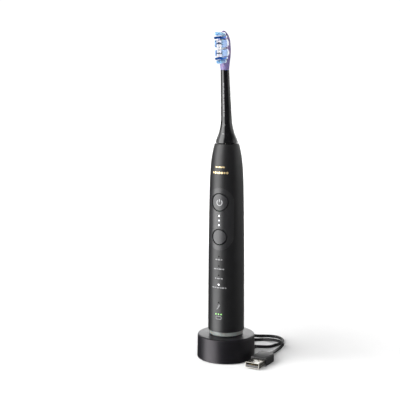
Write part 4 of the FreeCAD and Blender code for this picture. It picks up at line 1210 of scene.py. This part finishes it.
# azimuth, brightness and sharpness of each soft glow, the heights between which it fades in
# and out, and its least share
GLOWS = (
    (150, 0.85, 4.0, (-0.16, 0.0), (1.1, 1.2), 0.2),
    (112, 2.0, 16.0, (-0.12, -0.02), (0.3, 0.5), 0.0),
    (200, 5.2, 5.0, (0.04, 0.14), (0.32, 0.45), 0.0),
    (-80, 2.4, 9.0, (0.0, 0.25), (0.6, 0.8), 0.0),
)
STRIP_AZIMUTH = -42
STRIP = 7.6
STRIP_HALF_W = (0.3, 0.56)  # full brightness to this sideways share, dark from the next
STRIP_FACING = (0.45, 0.7)  # dark up to this share towards it, full from the next
FILL_AZIMUTH = math.radians(24)
FILL_ELEVATION = math.radians(34)
FILL_DISTANCE = 1.4
FILL_SIDE = 1.3
FILL_POWER = 13
FILL_AIM = Vector((0, 0, 0.12))


def toward(way, azimuth):
    """How far the direction looked in goes towards an azimuth."""
    a = math.radians(azimuth)
    node = add_node(way.id_data, "VectorMath")
    node.operation = "DOT_PRODUCT"
    put(node.inputs[0], way)
    put(node.inputs[1], (math.sin(a), -math.cos(a), 0))
    return node.outputs["Value"]


def maths(operation, *values):
    """Result of a sum on one or two values, of which the first is a node's output."""
    node = add_node(values[0].id_data, "Math")
    node.operation = operation
    for socket, value in zip(node.inputs, values):
        put(socket, value)
    return node.outputs["Value"]


def build_surroundings():
    """Dark surroundings with soft glows, and a tall strip on the left, seen in reflections."""
    world = bpy.data.worlds.new("studio")
    bpy.context.scene.world = world
    world.use_nodes = True
    tree = world.node_tree
    way = add_node(tree, "TexCoord").outputs["Generated"]
    height = add_node(tree, "SeparateXYZ", Vector=way).outputs["Z"]
    level = SURROUND
    for azimuth, power, sharpness, rise, fall, least in GLOWS:
        facing = maths("MAXIMUM", toward(way, azimuth), 0.0)
        lobe = maths("MULTIPLY", maths("POWER", facing, sharpness), power)
        lobe = maths("MULTIPLY", lobe, spread(height, *rise, least, 1.0))
        lobe = maths("MULTIPLY", lobe, spread(height, *fall, 1.0, 0.0))
        level = maths("ADD", lobe, level)
    sideways = maths("ABSOLUTE", toward(way, STRIP_AZIMUTH + 90))
    facing = spread(toward(way, STRIP_AZIMUTH), *STRIP_FACING, 0.0, 1.0)
    strip = maths("MULTIPLY", spread(sideways, *STRIP_HALF_W, STRIP, 0.0), facing)
    set_inputs(tree.nodes["Background"], Color=(1, 1, 1, 1), Strength=maths("ADD", strip, level))


def build_fill():
    """Square light in front, which reflections don't show."""
    data = bpy.data.lights.new("fill", "AREA")
    data.shape = "RECTANGLE"
    data.size = data.size_y = FILL_SIDE
    data.energy = FILL_POWER
    fill = add_object("fill", data)
    flat = math.cos(FILL_ELEVATION)
    way = Vector((math.sin(FILL_AZIMUTH) * flat, -math.cos(FILL_AZIMUTH) * flat,
                  math.sin(FILL_ELEVATION)))
    fill.location = FILL_AIM + way * FILL_DISTANCE
    fill.rotation_euler = way.to_track_quat("Z", "Y").to_euler()
    fill.visible_glossy = False


build_camera()
relief = build_relief()
cord = build_cord()
([relief, build_plug()] + [frame["nodes"][n] for n in
                                              ("usb_shell", "usb_tongue", "usb_contacts")])
build_puck()
build_ring()
build_marks()
build_buttons()
build_lights_on_handle()
build_neck()
build_neck_marks()
build_plate()
build_pads()
build_bristles()
build_guards()
build_floor()
build_backdrop()
build_surroundings()
build_fill()
bpy.context.scene.view_settings.view_transform = "Standard"
